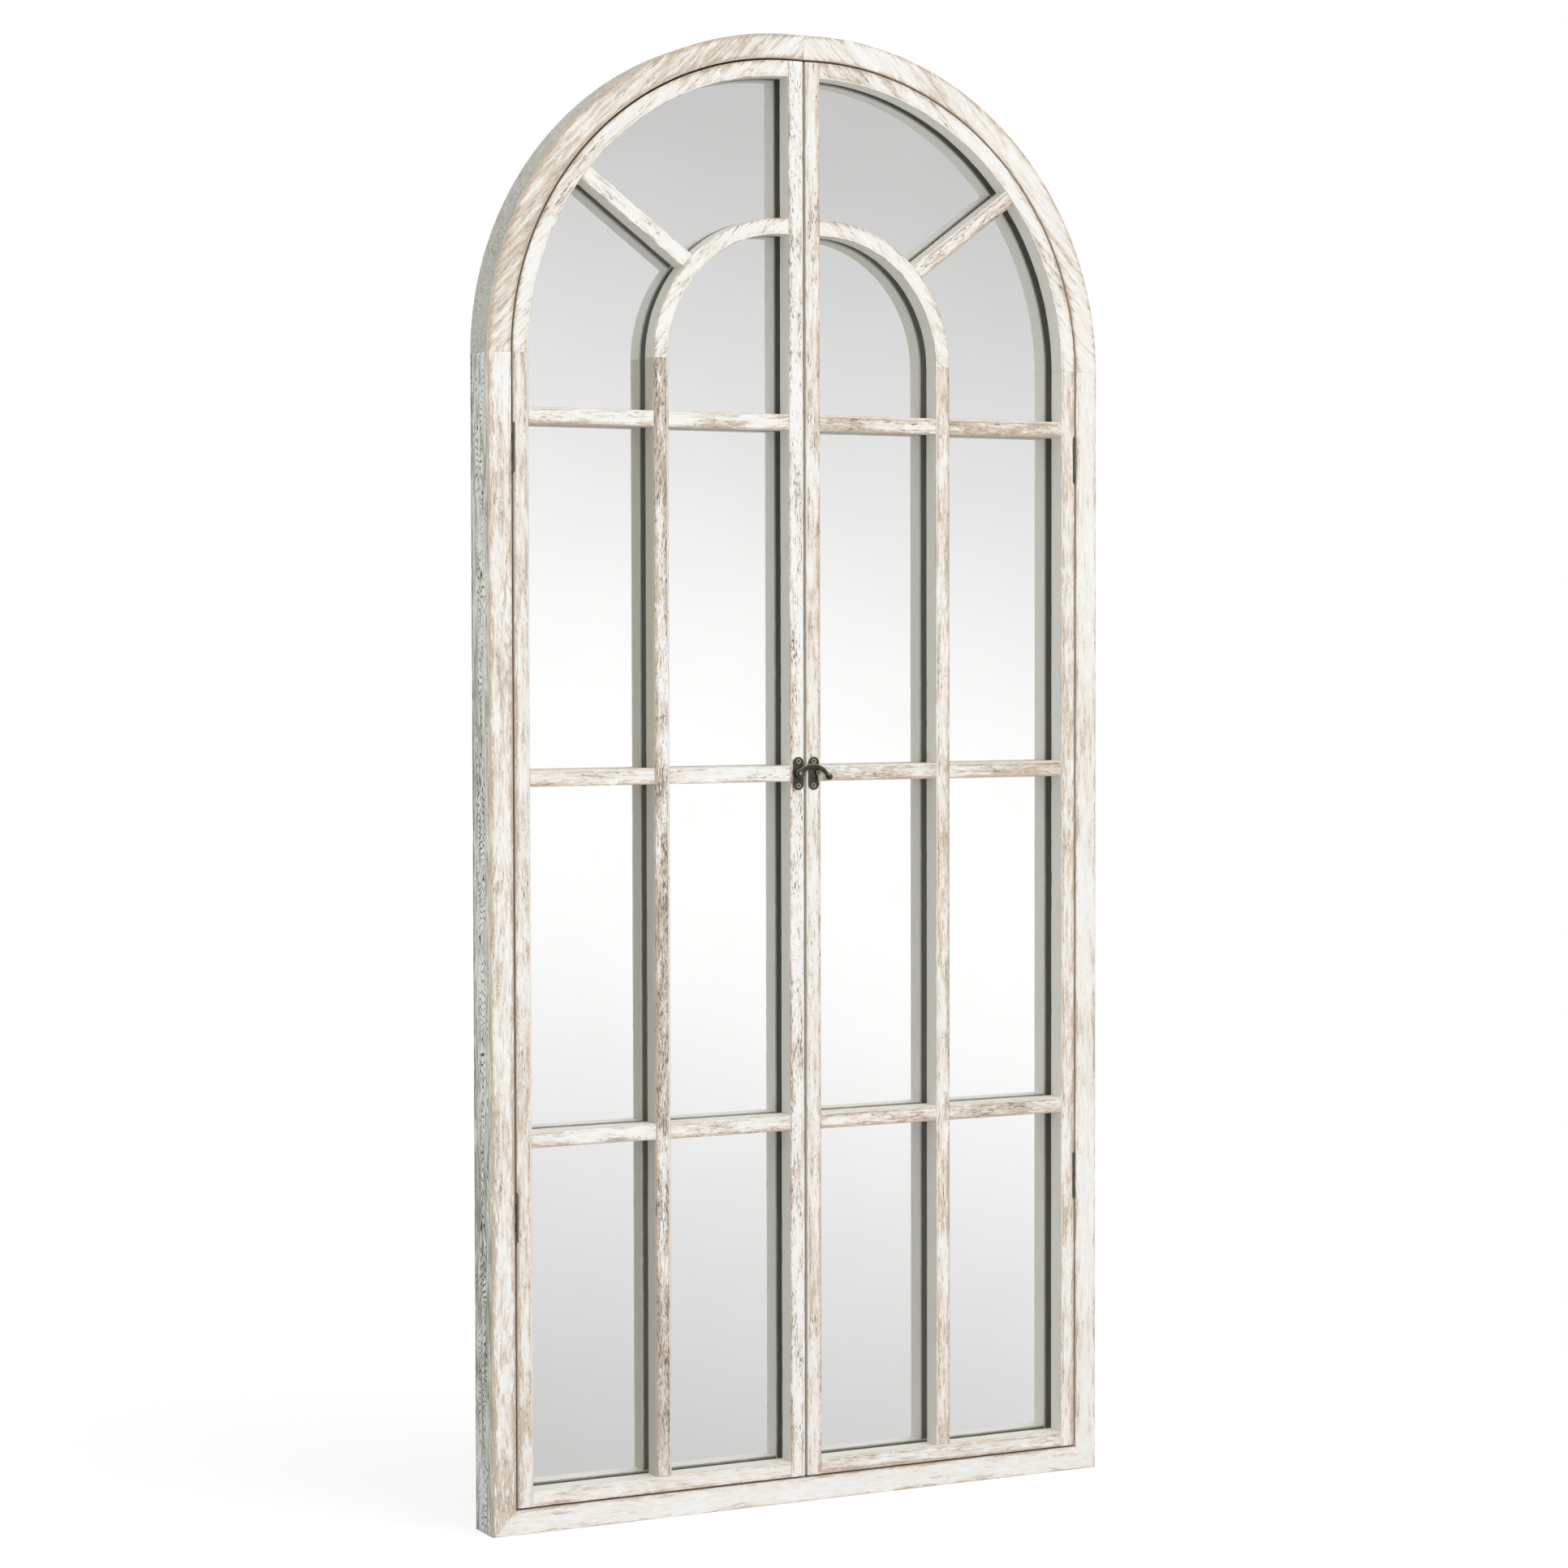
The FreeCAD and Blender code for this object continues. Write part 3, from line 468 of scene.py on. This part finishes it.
# Mirror: one pane of 4 mm float glass, silvered on the back, let into the frame's rebate from
# behind. The eye gets a clean, neutral reflection with a trace of haze.
mirror_glass, tree, shader = new_material("silvered_float_glass")
place = add(tree, "ShaderNodeTexCoord").outputs["Object"]
haze = add(tree, "ShaderNodeTexNoise", {"Vector": place, "Scale": 1 / (90 * MM), "Detail": 3.0}).outputs[0]
rough = add(tree, "ShaderNodeMapRange", {0: haze, 1: 0.35, 2: 0.7, 3: 0.0, 4: 0.006}).outputs[0]
tint = add(tree, "ShaderNodeValToRGB", {0: haze}, [(0.3, "#f7f7f6"), (0.7, "#f9f9f8")]).outputs[0]
tree.links.new(rough, shader.inputs["Roughness"])
tree.links.new(tint, shader.inputs["Base Color"])
shader.inputs["Metallic"].default_value = 1.0
dress(mirror_glass, "mirror_glass")

# Backing: one panel of 3 mm brown hardboard behind the glass, screwed to the frame with small
# pan-head screws. It is smooth and matt, with short pressed fibres and faint blotches.
hardboard, tree, shader = new_material("brown_hardboard")
place = add(tree, "ShaderNodeTexCoord").outputs["Object"]
fibre = add(tree, "ShaderNodeTexNoise", {"Vector": place, "Scale": 1 / (2 * MM), "Detail": 4.0}).outputs[0]
blotch = add(tree, "ShaderNodeTexNoise", {"Vector": place, "Scale": 1 / (70 * MM), "Detail": 3.0}).outputs[0]
mixed = add(tree, "ShaderNodeMath", {0: blotch, 1: 0.6, 2: fibre}, operation="MULTIPLY_ADD").outputs[0]
tone = add(tree, "ShaderNodeValToRGB", {0: mixed}, [(0.6, "#5d4430"), (1.0, "#84664a")]).outputs[0]
bump = add(tree, "ShaderNodeBump", {"Height": fibre, "Strength": 0.3, "Distance": 0.2 * MM}).outputs[0]
tree.links.new(tone, shader.inputs["Base Color"])
tree.links.new(bump, shader.inputs["Normal"])
shader.inputs["Roughness"].default_value = 0.7
dress(hardboard, "backing_board")

# Screws: small bronzed steel countersunk screws in the hardware and pan heads in the backing.
# The finish is dull and brown, and rubbed a little brighter in spots.
screw_steel, tree, shader = new_material("bronzed_steel")
place = add(tree, "ShaderNodeTexCoord").outputs["Object"]
rub = add(tree, "ShaderNodeTexNoise", {"Vector": place, "Scale": 1 / (1.5 * MM), "Detail": 2.0}).outputs[0]
tone = add(tree, "ShaderNodeValToRGB", {0: rub}, [(0.35, "#5a5449"), (0.7, "#958a78")]).outputs[0]
tree.links.new(tone, shader.inputs["Base Color"])
shader.inputs["Metallic"].default_value = 1.0
shader.inputs["Roughness"].default_value = 0.42
dress(screw_steel, *[name for name in nodes if name.endswith("screws")])

# Hangers: two stamped keyhole plates, let in flush and screwed to the back of the stiles. Zinc
# plate gives a dull cold grey with fine crystals.
zinc, tree, shader = new_material("zinc_plated_steel")
place = add(tree, "ShaderNodeTexCoord").outputs["Object"]
crystal = add(tree, "ShaderNodeTexVoronoi", {"Vector": place, "Scale": 1 / (1.2 * MM)}).outputs["Color"]
shade = add(tree, "ShaderNodeRGBToBW", {0: crystal}).outputs[0]
tone = add(tree, "ShaderNodeValToRGB", {0: shade}, [(0.2, "#a9adb0"), (0.8, "#c2c5c7")]).outputs[0]
rough = add(tree, "ShaderNodeMapRange", {0: shade, 3: 0.3, 4: 0.45}).outputs[0]
tree.links.new(tone, shader.inputs["Base Color"])
tree.links.new(rough, shader.inputs["Roughness"])
shader.inputs["Metallic"].default_value = 1.0
dress(zinc, "left_hanger_plate", "right_hanger_plate")

# Hinges: four steel butt hinges, a frame leaf, a door leaf and a pin each, finished bronze and
# screwed into the edges of door and frame, so that only the barrels show.
# Sizes of its clouds and specks, where it is rubbed and painted with highlights and how much, and the reach
# of a bare front and of a spot of painted highlight
RUBBED_AND_HIGHLIT_BRONZE, CLOUD, SPECK, RUB_AND_HIGHLIGHT_GAIN = "#b3a48f", 9 * MM, 0.9 * MM, 1.7
BEND, TURNED, UPPER_HIGHLIGHT, MOST_RUB_AND_HIGHLIGHT = 0.8 * MM, (0.995, 0.9), (0.3, 0.75), 0.7
BARE_REACH, MOST_BARE, HIGHLIGHT_SPOT = 0.8 * MM, 0.85, (2.0 * MM, 1.0 * MM)


def bronzed(name, tones, rough, bare=None, highlight_spot=None):
    """Bronzed metal: smooth, with a slow change between two tones, and paler where the surface
    turns within a bend's radius, partly rubbed and partly a painted highlight, and on its upper
    faces, a painted highlight as if lit from above. It may also be rubbed all over in front of a
    bare depth, or given a spot of painted highlight, partly rubbed, round a place."""
    made, tree, shader = new_material(name)
    place = add(tree, "ShaderNodeTexCoord").outputs["Object"]
    cloud = {"Vector": place, "Scale": 1 / CLOUD, "Detail": 3.0}
    cloud = add(tree, "ShaderNodeTexNoise", cloud).outputs[0]
    speck = {"Vector": place, "Scale": 1 / SPECK, "Detail": 2.0}
    speck = add(tree, "ShaderNodeTexNoise", speck).outputs[0]
    tone = add(tree, "ShaderNodeValToRGB", {0: cloud}, [(0.35, tones[0]), (0.65, tones[1])]).outputs[0]
    # Edges found by a bevel: paler, partly rubbed and partly a painted highlight
    bent = add(tree, "ShaderNodeBevel", {"Radius": BEND}).outputs[0]
    flat = add(tree, "ShaderNodeNewGeometry").outputs["Normal"]
    turn = add(tree, "ShaderNodeVectorMath", {0: bent, 1: flat}, operation="DOT_PRODUCT").outputs["Value"]
    rub = add(tree, "ShaderNodeMapRange", {0: turn, 1: TURNED[0], 2: TURNED[1], 4: MOST_RUB_AND_HIGHLIGHT}).outputs[0]
    # Upper faces, by the object's own up: a painted highlight, as if lit from above
    facing = {"vector_type": "NORMAL", "convert_from": "WORLD", "convert_to": "OBJECT"}
    own = add(tree, "ShaderNodeVectorTransform", {0: flat}, **facing).outputs[0]
    upward = add(tree, "ShaderNodeSeparateXYZ", {0: own}).outputs[2]
    upper = {0: upward, 1: UPPER_HIGHLIGHT[0], 2: UPPER_HIGHLIGHT[1], 4: MOST_RUB_AND_HIGHLIGHT}
    upper = add(tree, "ShaderNodeMapRange", upper).outputs[0]
    rub = add(tree, "ShaderNodeMath", {0: rub, 1: upper}, operation="MAXIMUM").outputs[0]
    if bare is not None:
        depth = add(tree, "ShaderNodeSeparateXYZ", {0: place}).outputs[1]
        proud = {0: depth, 1: bare, 2: bare - BARE_REACH, 4: MOST_BARE}
        proud = add(tree, "ShaderNodeMapRange", proud).outputs[0]
        rub = add(tree, "ShaderNodeMath", {0: rub, 1: proud}, operation="MAXIMUM").outputs[0]
    # A spot round a place: a painted highlight, partly rubbed
    if highlight_spot is not None:
        reach = add(tree, "ShaderNodeVectorMath", {0: place, 1: highlight_spot}, operation="DISTANCE").outputs["Value"]
        spot_highlight = add(tree, "ShaderNodeMapRange", {0: reach, 1: HIGHLIGHT_SPOT[0], 2: HIGHLIGHT_SPOT[1]}).outputs[0]
        rub = add(tree, "ShaderNodeMath", {0: rub, 1: spot_highlight}, operation="MAXIMUM").outputs[0]
    rub = add(tree, "ShaderNodeMath", {0: speck, 1: rub}, operation="MULTIPLY").outputs[0]
    rub = add(tree, "ShaderNodeMath", {0: rub, 1: RUB_AND_HIGHLIGHT_GAIN}, operation="MULTIPLY", use_clamp=True).outputs[0]
    mixed = {0: rub, 6: tone, 7: linear(RUBBED_AND_HIGHLIT_BRONZE)}
    tone = add(tree, "ShaderNodeMix", mixed, data_type="RGBA").outputs[2]
    dull = {0: speck, 1: 0.3, 2: 0.7, 3: rough - 0.05, 4: rough + 0.05}
    dull = add(tree, "ShaderNodeMapRange", dull).outputs[0]
    tree.links.new(tone, shader.inputs["Base Color"])
    tree.links.new(dull, shader.inputs["Roughness"])
    shader.inputs["Metallic"].default_value = 0.85
    return made


# The hinges' bronze has painted highlights on its edges and upper faces
hinge_bronze = bronzed("bronzed_hinge_steel", ("#6c695e", "#7b776b"), 0.3)
dress(hinge_bronze, *[name for name in nodes if "_hinge_" in name and not name.endswith("screws")])

# Doors: two leaves of glazing bars without glass. Every member is a square-edged pine stick,
# stub tenoned and glued to its neighbours, and painted and rubbed back as the frame is.
SPOKE_HEADING = np.radians(36.5)
half = (door_high.x - door_low.x) / 2
rail_low, rail_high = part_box("right_door_bottom_rail")
muntin_low, muntin_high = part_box("right_door_muntin")
inner_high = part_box("right_door_inner_arch")[1]
stick = (
    [(-half, door_low.y), (half, door_low.y), (half, door_high.y), (-half, door_high.y)],
    (1, 1, 1, 1),
    ("front", "side", "back", "side"),
)
rim_stick = (stick[0], (0.5, 1, 1, 1), ("front", "side", "back", "gap"))
outer_x, meeting_x, muntin_x = door_low.x + half, meeting_low.x + half, muntin_low.x + half
head_radius = meeting_high.z - springing
inner_radius = inner_high.z - springing
inner_run = muntin_high.x - inner_radius - meeting_high.x
head_path = ((outer_x, springing), UP, head_radius - half, QUARTER)
inner_path = ((muntin_x, springing), UP, inner_radius - half, QUARTER)
# Hollow round in the door's front edge that a hinge's barrel turns in
BARREL_ROOM, BARREL_END = 0.4 * MM, 0.3 * MM
pin_boxes = [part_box(level + "_right_hinge_pin") for level in ("lower", "upper")]
barrel = (pin_boxes[0][0] + pin_boxes[0][1]) / 2
scoop = barrel.y - leaf_low.y + BARREL_ROOM
scoop_turn = np.arccos((door_low.y - barrel.y) / scoop)
barrel_ends = [(low.z - BARREL_END, high.z + BARREL_END) for low, high in pin_boxes]
hinge_hollow = {
    "corner": 0,
    "rows": [z - door_low.z for ends in barrel_ends for z in ends],
    "shape": lambda t: np.stack(
        [scoop * np.sin(t * scoop_turn), barrel.y - door_low.y + scoop * np.cos(t * scoop_turn)], -1
    ),
}


def spoke_reach(centre, radius):
    """Length of the spoke's line, at each width, from the middle of the springing to a circle."""
    lift = centre * np.sin(SPOKE_HEADING)
    return lambda w: centre * np.cos(SPOKE_HEADING) + np.sqrt(radius**2 - (w + lift) ** 2)


inner_reach = spoke_reach(meeting_high.x + inner_run, inner_radius)
head_reach = spoke_reach(meeting_high.x, head_radius - 2 * half)
spoke_from, spoke_to = inner_reach(half), head_reach(-half)
spoke_start = (spoke_from * np.cos(SPOKE_HEADING), springing + spoke_from * np.sin(SPOKE_HEADING))
# How stained, how dark in the pores and how white the doors' members are
DOOR_FINISH = {
    "left_door": {
        "outer_stile": (0.4, 0.4, 0.5), "meeting_stile": (0.1, 0.65, 0.9), "muntin": (0.9, 0.75, 0.5),
        "bottom_rail": (0.05, 0.25, 0.6), "bar": (0.4, 0.45, 0.7), "arch_head": (0.2, 0.45, 0.6),
        "inner_arch": (0.05, 0.5, 0.8), "spoke": (0.2, 0.4, 0.8),
    },
    "right_door": {
        "outer_stile": (0.4, 0.3, 0.5), "meeting_stile": (0.3, 0.5, 0.5), "muntin": (0.55, 0.45, 0.5),
        "bottom_rail": (0.55, 0.3, 0.5), "bar": (0.75, 0.5, 0.45), "arch_head": (0.2, 0.45, 0.6),
        "inner_arch": (0.1, 0.3, 0.6), "spoke": (0.5, 0.65, 0.7),
    },
}
# How grey the sides of the doors' members are made with painted shade, for some members and for all others
DOOR_SIDE_SHADE = {"left_door": {"muntin": 0.6}, "right_door": {"outer_stile": 0.0, "arch_head": 0.1}}
PLAIN_SIDE_SHADE = 0.3
# Number of each door's first board, clear of the frame's boards and the other door's
FIRST_BOARD = {"left_door": 20, "right_door": 40}
for side, mirror in SIDES:
    door = f"{side}_door"
    side_shade_of = DOOR_SIDE_SHADE[door]
    first = FIRST_BOARD[door]
    finish = DOOR_FINISH[door]
    upright = {
        "outer_stile": (outer_x, door_low.z, springing),
        "meeting_stile": (meeting_x, door_low.z, meeting_high.z),
        "muntin": (muntin_x, rail_high.z, springing),
    }
    for i, (name, (x, low, high)) in enumerate(upright.items()):
        worn_board(f"{door}_{name}", door, first + i, ((x, low), UP, 1, 0), high - low,
                   rim_stick if name == "outer_stile" else stick, finish[name], mirror=mirror,
                   hollow=hinge_hollow if name == "outer_stile" else None, side_shade=side_shade_of.get(name, PLAIN_SIDE_SHADE))
    level = {"bottom_rail": (meeting_high.x, door_low.x, (rail_low.z + rail_high.z) / 2)}
    for row in ("lower", "middle", "upper"):
        low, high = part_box(f"right_door_{row}_inner_bar")
        level[row + "_inner_bar"] = (meeting_high.x, muntin_low.x, (low.z + high.z) / 2)
        level[row + "_outer_bar"] = (muntin_high.x, door_low.x, (low.z + high.z) / 2)
    for i, (name, (from_x, to_x, z)) in enumerate(level.items()):
        worn_board(f"{door}_{name}", door, first + 3 + i, ((from_x, z), TO_RIGHT, 1, 0), to_x - from_x, stick,
                   finish.get(name, finish["bar"]), mirror=mirror, side_shade=PLAIN_SIDE_SHADE)
    worn_board(f"{door}_arch_head", door, first + 10, head_path, (head_radius - half) * QUARTER, rim_stick,
               finish["arch_head"], slant=BOARD_SLANT, mirror=mirror,
               side_shade=side_shade_of.get("arch_head", PLAIN_SIDE_SHADE))
    worn_board(f"{door}_inner_arch", door, first + 11, inner_path,
               (inner_radius - half) * QUARTER + inner_run, stick, finish["inner_arch"],
               slant=BOARD_SLANT, mirror=mirror, side_shade=PLAIN_SIDE_SHADE)
    copes = (lambda w: inner_reach(w) - spoke_from, lambda w: spoke_to - head_reach(w))
    worn_board(f"{door}_spoke", door, first + 12, (spoke_start, SPOKE_HEADING, 1, 0), spoke_to - spoke_from,
               stick, finish["spoke"], trims=copes, mirror=mirror, side_shade=PLAIN_SIDE_SHADE)

# Latch: two round-ended pressed plates, each held by two cross-head screws, a cast hook on a
# rivet and a curled wire catch. They are finished dark bronze and rubbed paler on the wire that
# the hook slides over. Their edges are paler, partly rubbed and partly a painted highlight, their
# upper faces and the rivet's middle carry painted highlights, and the screws have pale rims and
# dark recesses, partly wear and old finish and partly painted highlight and painted shade.
latch_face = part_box("hook_plate_screws")[0].y
latch_iron = bronzed("dark_bronzed_iron", ("#44463d", "#505249"), 0.38)
rubbed_iron = bronzed("rubbed_and_highlit_bronzed_iron", ("#44463d", "#505249"), 0.38, bare=latch_face)
# The rivet gets a pale spot on its middle: a painted highlight, partly rubbed
rivet_low, rivet_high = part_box("hook_rivet")
rivet_top = (rivet_low + rivet_high) / 2
rivet_top.y = rivet_low.y
rivet_bronze = bronzed("rubbed_and_highlit_rivet_bronze", ("#4a4c43", "#5a5b52"), 0.3, highlight_spot=rivet_top)
dress(latch_iron, "hook_plate", "latch_hook")
dress(rubbed_iron, "catch_plate")
dress(rivet_bronze, "hook_rivet")

# Driven steel: a screw's rim is pale, partly bronze worn off and partly a painted highlight, and its recess
# is near black, partly old finish and partly painted shade
driven_steel, tree, shader = new_material("driven_bronzed_steel")
rim_wear_and_light = add(tree, "ShaderNodeAttribute", attribute_name="rim_wear_and_painted_light").outputs["Fac"]
place = add(tree, "ShaderNodeTexCoord").outputs["Object"]
speck = add(tree, "ShaderNodeTexNoise", {"Vector": place, "Scale": 1 / SPECK, "Detail": 2.0}).outputs[0]
rim_wear_and_light = weigh(rim_wear_and_light, (0.4, speck))
# Near black in the recess is old finish and painted shade; the pale rim is worn bronze and a painted
# highlight
tone = [(0.15, "#23231f"), (0.55, "#6a6558"), (1.0, "#c4b9a6")]
tone = add(tree, "ShaderNodeValToRGB", {0: rim_wear_and_light}, tone).outputs[0]
tree.links.new(tone, shader.inputs["Base Color"])
shader.inputs["Metallic"].default_value = 0.9
shader.inputs["Roughness"].default_value = 0.32
# A screw in millimetres: radius and length of its tip, radius of its shank and depth of its cone, then
# radius and depth below the plate's face from the rim of its head inwards, and its cross recess
SCREW_TIP, SCREW_SHANK, SCREW_CONE = (0.3, 3.0), 1.3, 1.2
SCREW_DISH = [(2.5, 0), (2.47, -0.1), (2.35, -0.18), (2.15, -0.2), (1.9, -0.14), (1.65, 0.02), (1.5, 0.08)]
RECESS_DEPTH, RECESS_HUB, RECESS_ARM, RECESS_WALL, RECESS_SHARP = 0.8, 0.5, 0.9, 0.25, 6
# Flat of the head and its sink, then the pale rim of worn bronze and painted highlight: where it starts and
# its width, and the least of it on the head
HEAD_FLAT, HEAD_SINK, RIM_WEAR_AND_HIGHLIGHT, LEAST_WEAR_AND_HIGHLIGHT = np.linspace(1.4, 0.1, 14), 0.1, (1.2, 0.7), 0.3
LOWER_TURN, UPPER_TURN, SCREW_STEPS = 0.5, 1.1, 64
for name, body in (("hook_plate_screws", "left_door"), ("catch_plate_screws", "right_door")):
    low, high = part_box(name)
    head = (high.x - low.x) / 2
    deep = (high.y - low.y) / MM
    shank = [(SCREW_TIP[0], deep), (SCREW_SHANK, deep - SCREW_TIP[1]), (SCREW_SHANK, SCREW_CONE)]
    flat = [(r, HEAD_SINK) for r in HEAD_FLAT]
    r, depth = np.array(shank + SCREW_DISH + flat).T
    angle = np.linspace(0, 2 * np.pi, SCREW_STEPS, endpoint=False)
    arms = RECESS_HUB + RECESS_ARM * np.abs(np.cos(2 * angle)) ** RECESS_SHARP
    recess = np.clip((arms - r[:, None]) / RECESS_WALL, 0, 1) * (np.arange(len(r)) > len(shank))[:, None]
    joined = bmesh.new()
    for z, turn in ((low.z + head, LOWER_TURN), (high.z - head, UPPER_TURN)):
        x = (low.x + high.x) / 2 + r[:, None] * np.cos(angle + turn) * MM
        y = low.y + (depth[:, None] + RECESS_DEPTH * recess) * MM
        grid = np.stack([x, y, z + r[:, None] * np.sin(angle + turn) * MM], -1)
        turned = closed_mesh("turned_screw", grid, np.ones(len(angle), bool))
        # Pale towards the rim and dark in the recess: wear and old finish, and painted highlight and painted
        # shade
        rim_wear_and_painted_light = np.clip((r[:, None] - RIM_WEAR_AND_HIGHLIGHT[0]) / RIM_WEAR_AND_HIGHLIGHT[1], LEAST_WEAR_AND_HIGHLIGHT, 1) * (1 - recess)
        layer = turned.attributes.new("rim_wear_and_painted_light", "FLOAT", "POINT")
        layer.data.foreach_set("value", rim_wear_and_painted_light.astype(np.float32).ravel())
        joined.from_mesh(turned)
        bpy.data.meshes.remove(turned)
    mesh = bpy.data.meshes.new(name + "_driven")
    joined.to_mesh(mesh)
    joined.free()
    put_in_place(mesh, driven_steel, body, name)

# Studio: a pale floor that catches the object's shadow, an even white room and one broad soft
# lamp from the front, high on the right. The mirror shows the room as a soft band of light.
FLOOR_REACH, FLOOR_FADE, FLOOR_GLOW, FLOOR_BOUNCE, FLOOR_GREY = 1.6, 0.5, 0.76, 0.25, "#949494"
ROOM_WHITE, ROOM_LIGHT, LEFT_LIFT, GLOSS_LIGHT = "#fdfffc", 0.68, 0.2, 1.07
BAND_TILT, BAND_MIDDLE, BAND_REACH, FLOOR_STEPS = 0.28, 0.0764, 0.25, 96
BAND = [
    (0.0, "#ffffff"), (0.08, "#ffffff"), (0.2, "#f9f9f9"), (0.4, "#e6e6e6"), (0.7, "#cbcccb"),
    (1.0, "#bcbdbc"),
]
# Soft boxes that only gloss shows, overhead and in front, and a dark left: way, edge, middle, strength
GLEAMS = [((0, 0, 1), 0.45, 0.85, 2.5), ((0, -1, 0), 0.965, 0.998, 1.5), ((-1, 0, 0), 0.1, 0.9, -0.7)]
angle = np.linspace(0, 2 * np.pi, FLOOR_STEPS, endpoint=False)
ring = np.stack([np.cos(angle), np.sin(angle), 0 * angle], -1)
floor_mesh = bpy.data.meshes.new("floor")
floor_mesh.from_pydata((ring * FLOOR_REACH).tolist(), [], [list(range(len(angle)))])
floor = bpy.data.objects.new("floor", floor_mesh)
bpy.context.scene.collection.objects.link(floor)
pale_floor = bpy.data.materials.new("pale_floor")
pale_floor.use_nodes = True
tree = pale_floor.node_tree
tree.nodes.clear()
ray = add(tree, "ShaderNodeLightPath").outputs
place = add(tree, "ShaderNodeTexCoord").outputs["Object"]
reach = add(tree, "ShaderNodeVectorMath", {0: place}, operation="LENGTH").outputs["Value"]
fade = {0: reach, 1: FLOOR_FADE, 2: FLOOR_REACH}
fade = add(tree, "ShaderNodeMapRange", fade, interpolation_type="SMOOTHSTEP").outputs[0]
clear = {0: ray["Is Glossy Ray"], 1: ray["Is Transmission Ray"]}
clear = add(tree, "ShaderNodeMath", clear, operation="MAXIMUM").outputs[0]
clear = add(tree, "ShaderNodeMath", {0: clear, 1: fade}, operation="MAXIMUM").outputs[0]
lift = weigh(0.0, (FLOOR_GLOW, ray["Is Camera Ray"]), (FLOOR_BOUNCE, ray["Is Diffuse Ray"]))
matt = add(tree, "ShaderNodeBsdfDiffuse", {"Color": linear(FLOOR_GREY)}).outputs[0]
glow = add(tree, "ShaderNodeEmission", {"Strength": lift}).outputs[0]
matt = add(tree, "ShaderNodeAddShader", {0: matt, 1: glow}).outputs[0]
gone = add(tree, "ShaderNodeBsdfTransparent").outputs[0]
shown = add(tree, "ShaderNodeMixShader", {0: clear, 1: matt, 2: gone}).outputs[0]
add(tree, "ShaderNodeOutputMaterial", {"Surface": shown})
floor_mesh.materials.append(pale_floor)

world = bpy.data.worlds.new("white_room")
bpy.context.scene.world = world
world.use_nodes = True
tree = world.node_tree
tree.nodes.clear()
ray = add(tree, "ShaderNodeLightPath").outputs
way = add(tree, "ShaderNodeTexCoord").outputs["Generated"]
height = {0: way, 1: (BAND_TILT, 0, 1)}
height = add(tree, "ShaderNodeVectorMath", height, operation="DOT_PRODUCT").outputs["Value"]
off = add(tree, "ShaderNodeMath", {0: height, 1: BAND_MIDDLE}, operation="SUBTRACT").outputs[0]
off = add(tree, "ShaderNodeMath", {0: off}, operation="ABSOLUTE").outputs[0]
off = add(tree, "ShaderNodeMath", {0: off, 1: BAND_REACH}, operation="DIVIDE").outputs[0]
band = add(tree, "ShaderNodeValToRGB", {0: off}, BAND).outputs[0]
seen = {0: ray["Is Camera Ray"], 1: ray["Is Transmission Ray"]}
seen = add(tree, "ShaderNodeMath", seen, operation="MAXIMUM").outputs[0]
leftward = {0: way, 1: (-1, 0, 0)}
leftward = add(tree, "ShaderNodeVectorMath", leftward, operation="DOT_PRODUCT").outputs["Value"]
leftward = add(tree, "ShaderNodeMath", {0: leftward, 1: 0.0}, operation="MAXIMUM").outputs[0]
even = {"Color": linear(ROOM_WHITE), "Strength": weigh(ROOM_LIGHT, (LEFT_LIFT, leftward))}
even = add(tree, "ShaderNodeBackground", even).outputs[0]
gleams = []
for toward, low, high, strength in GLEAMS:
    lobe = add(tree, "ShaderNodeVectorMath", {0: way, 1: toward}, operation="DOT_PRODUCT").outputs["Value"]
    lobe = {0: lobe, 1: low, 2: high}
    lobe = add(tree, "ShaderNodeMapRange", lobe, interpolation_type="SMOOTHSTEP").outputs[0]
    gleams.append((strength, lobe))
soft = add(tree, "ShaderNodeBackground", {"Color": band, "Strength": weigh(GLOSS_LIGHT, *gleams)}).outputs[0]
white = add(tree, "ShaderNodeBackground", {"Color": linear("#ffffff"), "Strength": 1.0}).outputs[0]
room = add(tree, "ShaderNodeMixShader", {0: ray["Is Glossy Ray"], 1: even, 2: soft}).outputs[0]
room = add(tree, "ShaderNodeMixShader", {0: seen, 1: room, 2: white}).outputs[0]
add(tree, "ShaderNodeOutputWorld", {"Surface": room})

KEY_STRENGTH, KEY_SPREAD = 1.4, 50
KEY_TURN = (50, 0, 35)
lamp = bpy.data.lights.new("key", "SUN")
lamp.energy, lamp.angle = KEY_STRENGTH, np.radians(KEY_SPREAD)
key = bpy.data.objects.new("key", lamp)
key.rotation_euler = np.radians(KEY_TURN)
key.visible_glossy = False
bpy.context.scene.collection.objects.link(key)

# Camera: in front and to the left, at waist height and tilted down two degrees, with a long
# lens. It stands where the edges and the arch in the picture put it.
LENS, SENSOR = 86.91, 36.0
EYE = (-1.8723, -3.6166, 0.9239)
YAW, PITCH, ROLL = np.radians((27.202, -2.118, -0.117))
lens = bpy.data.cameras.new("camera")
lens.lens, lens.sensor_width = LENS, SENSOR
camera = bpy.data.objects.new("camera", lens)
camera.location = EYE
bpy.context.scene.collection.objects.link(camera)
bpy.context.scene.camera = camera
turn = Matrix.Rotation(-YAW, 4, "Z") @ Matrix.Rotation(QUARTER + PITCH, 4, "X")
turn = turn @ Matrix.Rotation(ROLL, 4, "Z")
camera.rotation_euler = turn.to_euler("XYZ")
bpy.context.scene.view_settings.view_transform = "Standard"
